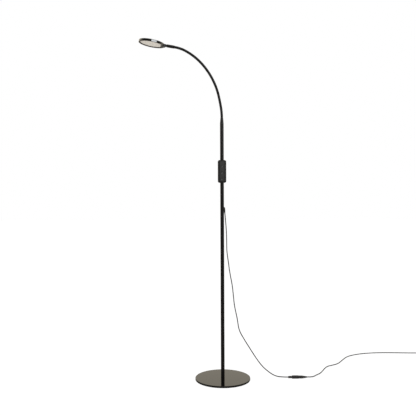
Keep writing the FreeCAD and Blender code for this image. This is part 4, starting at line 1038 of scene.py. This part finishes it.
lacquer = Finish("head_gloss", Coat_Weight=1.0, Coat_Roughness=0.03, Coat_IOR=1.8, IOR=1.5)
lacquer_haze = lacquer.grain(30)
head_gloss = lacquer.wear(
    lacquer.blend(lacquer_haze, (0.002, 0.002, 0.002), (0.005, 0.005, 0.005)),
    0.12 + 0.10 * lacquer_haze,
    lacquer.grain(220, 2.0), 0.00003)
finished(head_cup, head_gloss, "head_gloss", "head", "head_shell")

DIFFUSER_LOW = -2
bezel_corners = [(49.8, -HEAD_HALF, 0.3), (HEAD_RADIUS - 2.02, -HEAD_HALF, 0.3),
                 (HEAD_RADIUS - 2.02, DIFFUSER_LOW, 0), (49, DIFFUSER_LOW, 0.2)]
trim_ring = turned("trim_ring", eased(bezel_corners, 6), 192, head_place)
trim = Finish("bezel_black")
trim_cloud = trim.grain(80)
bezel_black = trim.wear(
    trim.blend(trim_cloud, (0.010, 0.007, 0.005), (0.018, 0.013, 0.009)),
    0.16 + 0.10 * trim_cloud,
    trim.grain(900, 2.0), 0.00003)
finished(trim_ring, bezel_black, "bezel_black", "head", "head_bezel")

opal_corners = [(0, DIFFUSER_LOW, 0), (52.5, DIFFUSER_LOW, 0.3), (52.5, DIFFUSER_LOW + 2, 0.3),
                (0, DIFFUSER_LOW + 2, 0)]
opal_disc = turned("opal_disc", eased(opal_corners, 4), 160, head_place)
opal = Finish("opal_diffuser")
opal_cloud = opal.grain(25)
opal_diffuser = opal.wear(
    opal.blend(opal_cloud, (0.86, 0.79, 0.69), (0.92, 0.86, 0.76)),
    0.38 + 0.08 * opal_cloud,
    opal.grain(1800, 2.0), 0.00003)
finished(opal_disc, opal_diffuser, "opal_diffuser", "head", "diffuser")

mask = Finish("white_board")
mask_cloud = mask.grain(300)
dress(mask.wear(mask.blend(mask_cloud, (0.78, 0.78, 0.76), (0.86, 0.86, 0.84)),
                0.4 + 0.1 * mask_cloud, mask.grain(1500), 0.00003), "light_board")
white = Finish("white_frame")
white_cloud = white.grain(200)
dress(white.wear(white.blend(white_cloud, (0.80, 0.80, 0.78), (0.88, 0.88, 0.86)),
                 0.5 + 0.1 * white_cloud, white.grain(1500), 0.00004), "light_frame")
phosphor = Finish("light_chip")
phosphor_cloud = phosphor.grain(800)
dress(phosphor.wear(phosphor.blend(phosphor_cloud, (0.82, 0.66, 0.16), (0.90, 0.78, 0.30)),
                    0.3 + 0.1 * phosphor_cloud, phosphor.grain(4000), 0.00003), "light_chips")


# ---------------------------------------------------------------- studio
# A white room: bright warm backdrop behind the lamp, a darker room behind the camera,
# and one wide soft lamp in front, to the right and a little above the lamp's head. The
# floor clips to white and keeps a faint contact shadow.

world = bpy.data.worlds.new("studio")
world.use_nodes = True
bpy.context.scene.world = world
room = Graph(world.node_tree)
world.node_tree.nodes.clear()


def ray(graph, kind):
    """1 for rays of a kind, and 0 for others."""
    return graph.node("ShaderNodeLightPath", {}, {}, kind)


BACKDROP = (0.88, 0.81, 0.67)
FRONT_ROOM = (0.035, 0.035, 0.035)
SKY_FILL = (0.62, 0.62, 0.62)
WHITE = (1.0, 1.0, 1.0)
direction = room.node("ShaderNodeTexCoord", {}, {}, "Generated")
ahead = room.node("ShaderNodeSeparateXYZ", {}, {"Vector": direction}, "Y")
behind = room.node("ShaderNodeMapRange", {"interpolation_type": "SMOOTHSTEP"},
                   {"Value": ahead, "From Min": -0.35, "From Max": 0.5})
mirror_view = room.blend(behind, FRONT_ROOM, BACKDROP)
seen = room.blend(ray(room, "Is Glossy Ray"), SKY_FILL, mirror_view)
shown = room.blend(ray(room, "Is Camera Ray"), seen, WHITE)
shown = room.blend(ray(room, "Is Transmission Ray"), shown, WHITE)
glow = room.node("ShaderNodeBackground", {}, {"Color": shown, "Strength": 1.0})
room.join(glow, world.node_tree.nodes.new("ShaderNodeOutputWorld").inputs["Surface"])

FLOOR_HALF = 30.0
floor_mesh = bpy.data.meshes.new("studio_floor")
floor_mesh.from_pydata([(-FLOOR_HALF, -FLOOR_HALF, 0), (FLOOR_HALF, -FLOOR_HALF, 0),
                        (FLOOR_HALF, FLOOR_HALF, 0), (-FLOOR_HALF, FLOOR_HALF, 0)],
                       [], [(0, 1, 2, 3)])
floor = placed("studio_floor", floor_mesh)
paper = bpy.data.materials.new("studio_floor")
paper.use_nodes = True
sheet = Graph(paper.node_tree)
paper.node_tree.nodes.clear()
sheet_place = sheet.node("ShaderNodeTexCoord", {}, {}, "Object")
spot = sheet.node("ShaderNodeSeparateXYZ", {}, {"Vector": sheet_place}, "Y")
far_side = sheet.node("ShaderNodeMapRange", {"interpolation_type": "SMOOTHSTEP"},
                      {"Value": spot, "From Min": -1.0, "From Max": 0.3})
mirrored = sheet.blend(far_side, (0.05, 0.05, 0.05), (0.25, 0.23, 0.20))
lit = sheet.blend(ray(sheet, "Is Glossy Ray"), (0.80, 0.80, 0.80), mirrored)
lit = sheet.blend(ray(sheet, "Is Camera Ray"), lit, (0.90, 0.90, 0.90))
glow = sheet.node("ShaderNodeEmission", {}, {"Color": lit, "Strength": 1.0})
matt = sheet.node("ShaderNodeBsdfDiffuse", {}, {"Color": (0.22, 0.22, 0.22, 1.0)})
both = sheet.node("ShaderNodeAddShader", {}, {0: glow, 1: matt})
only_matt = ray(sheet, "Is Camera Ray")
sheet.join(sheet.node("ShaderNodeMixShader", {}, {0: only_matt, 1: glow, 2: both}),
           paper.node_tree.nodes.new("ShaderNodeOutputMaterial").inputs["Surface"])
floor_mesh.materials.append(paper)


def softbox(name, place, target, width, height, radiance, colour):
    """A rectangular soft lamp at a place, aimed at a target."""
    data = bpy.data.lights.new(name, "AREA")
    data.shape = "RECTANGLE"
    data.size = width
    data.size_y = height
    data.energy = radiance * math.pi * width * height
    data.color = colour
    lamp = placed(name, data)
    lamp.location = place
    lamp.rotation_euler = (Vector(target) - Vector(place)).to_track_quat("-Z", "Y").to_euler()
    return lamp


softbox("key_light", (0.7, -1.96, 1.85), (-0.3, 0, 1.44), 1.85, 0.5, 5.5, (0.95, 0.98, 1.0))

bpy.context.scene.view_settings.view_transform = "Standard"
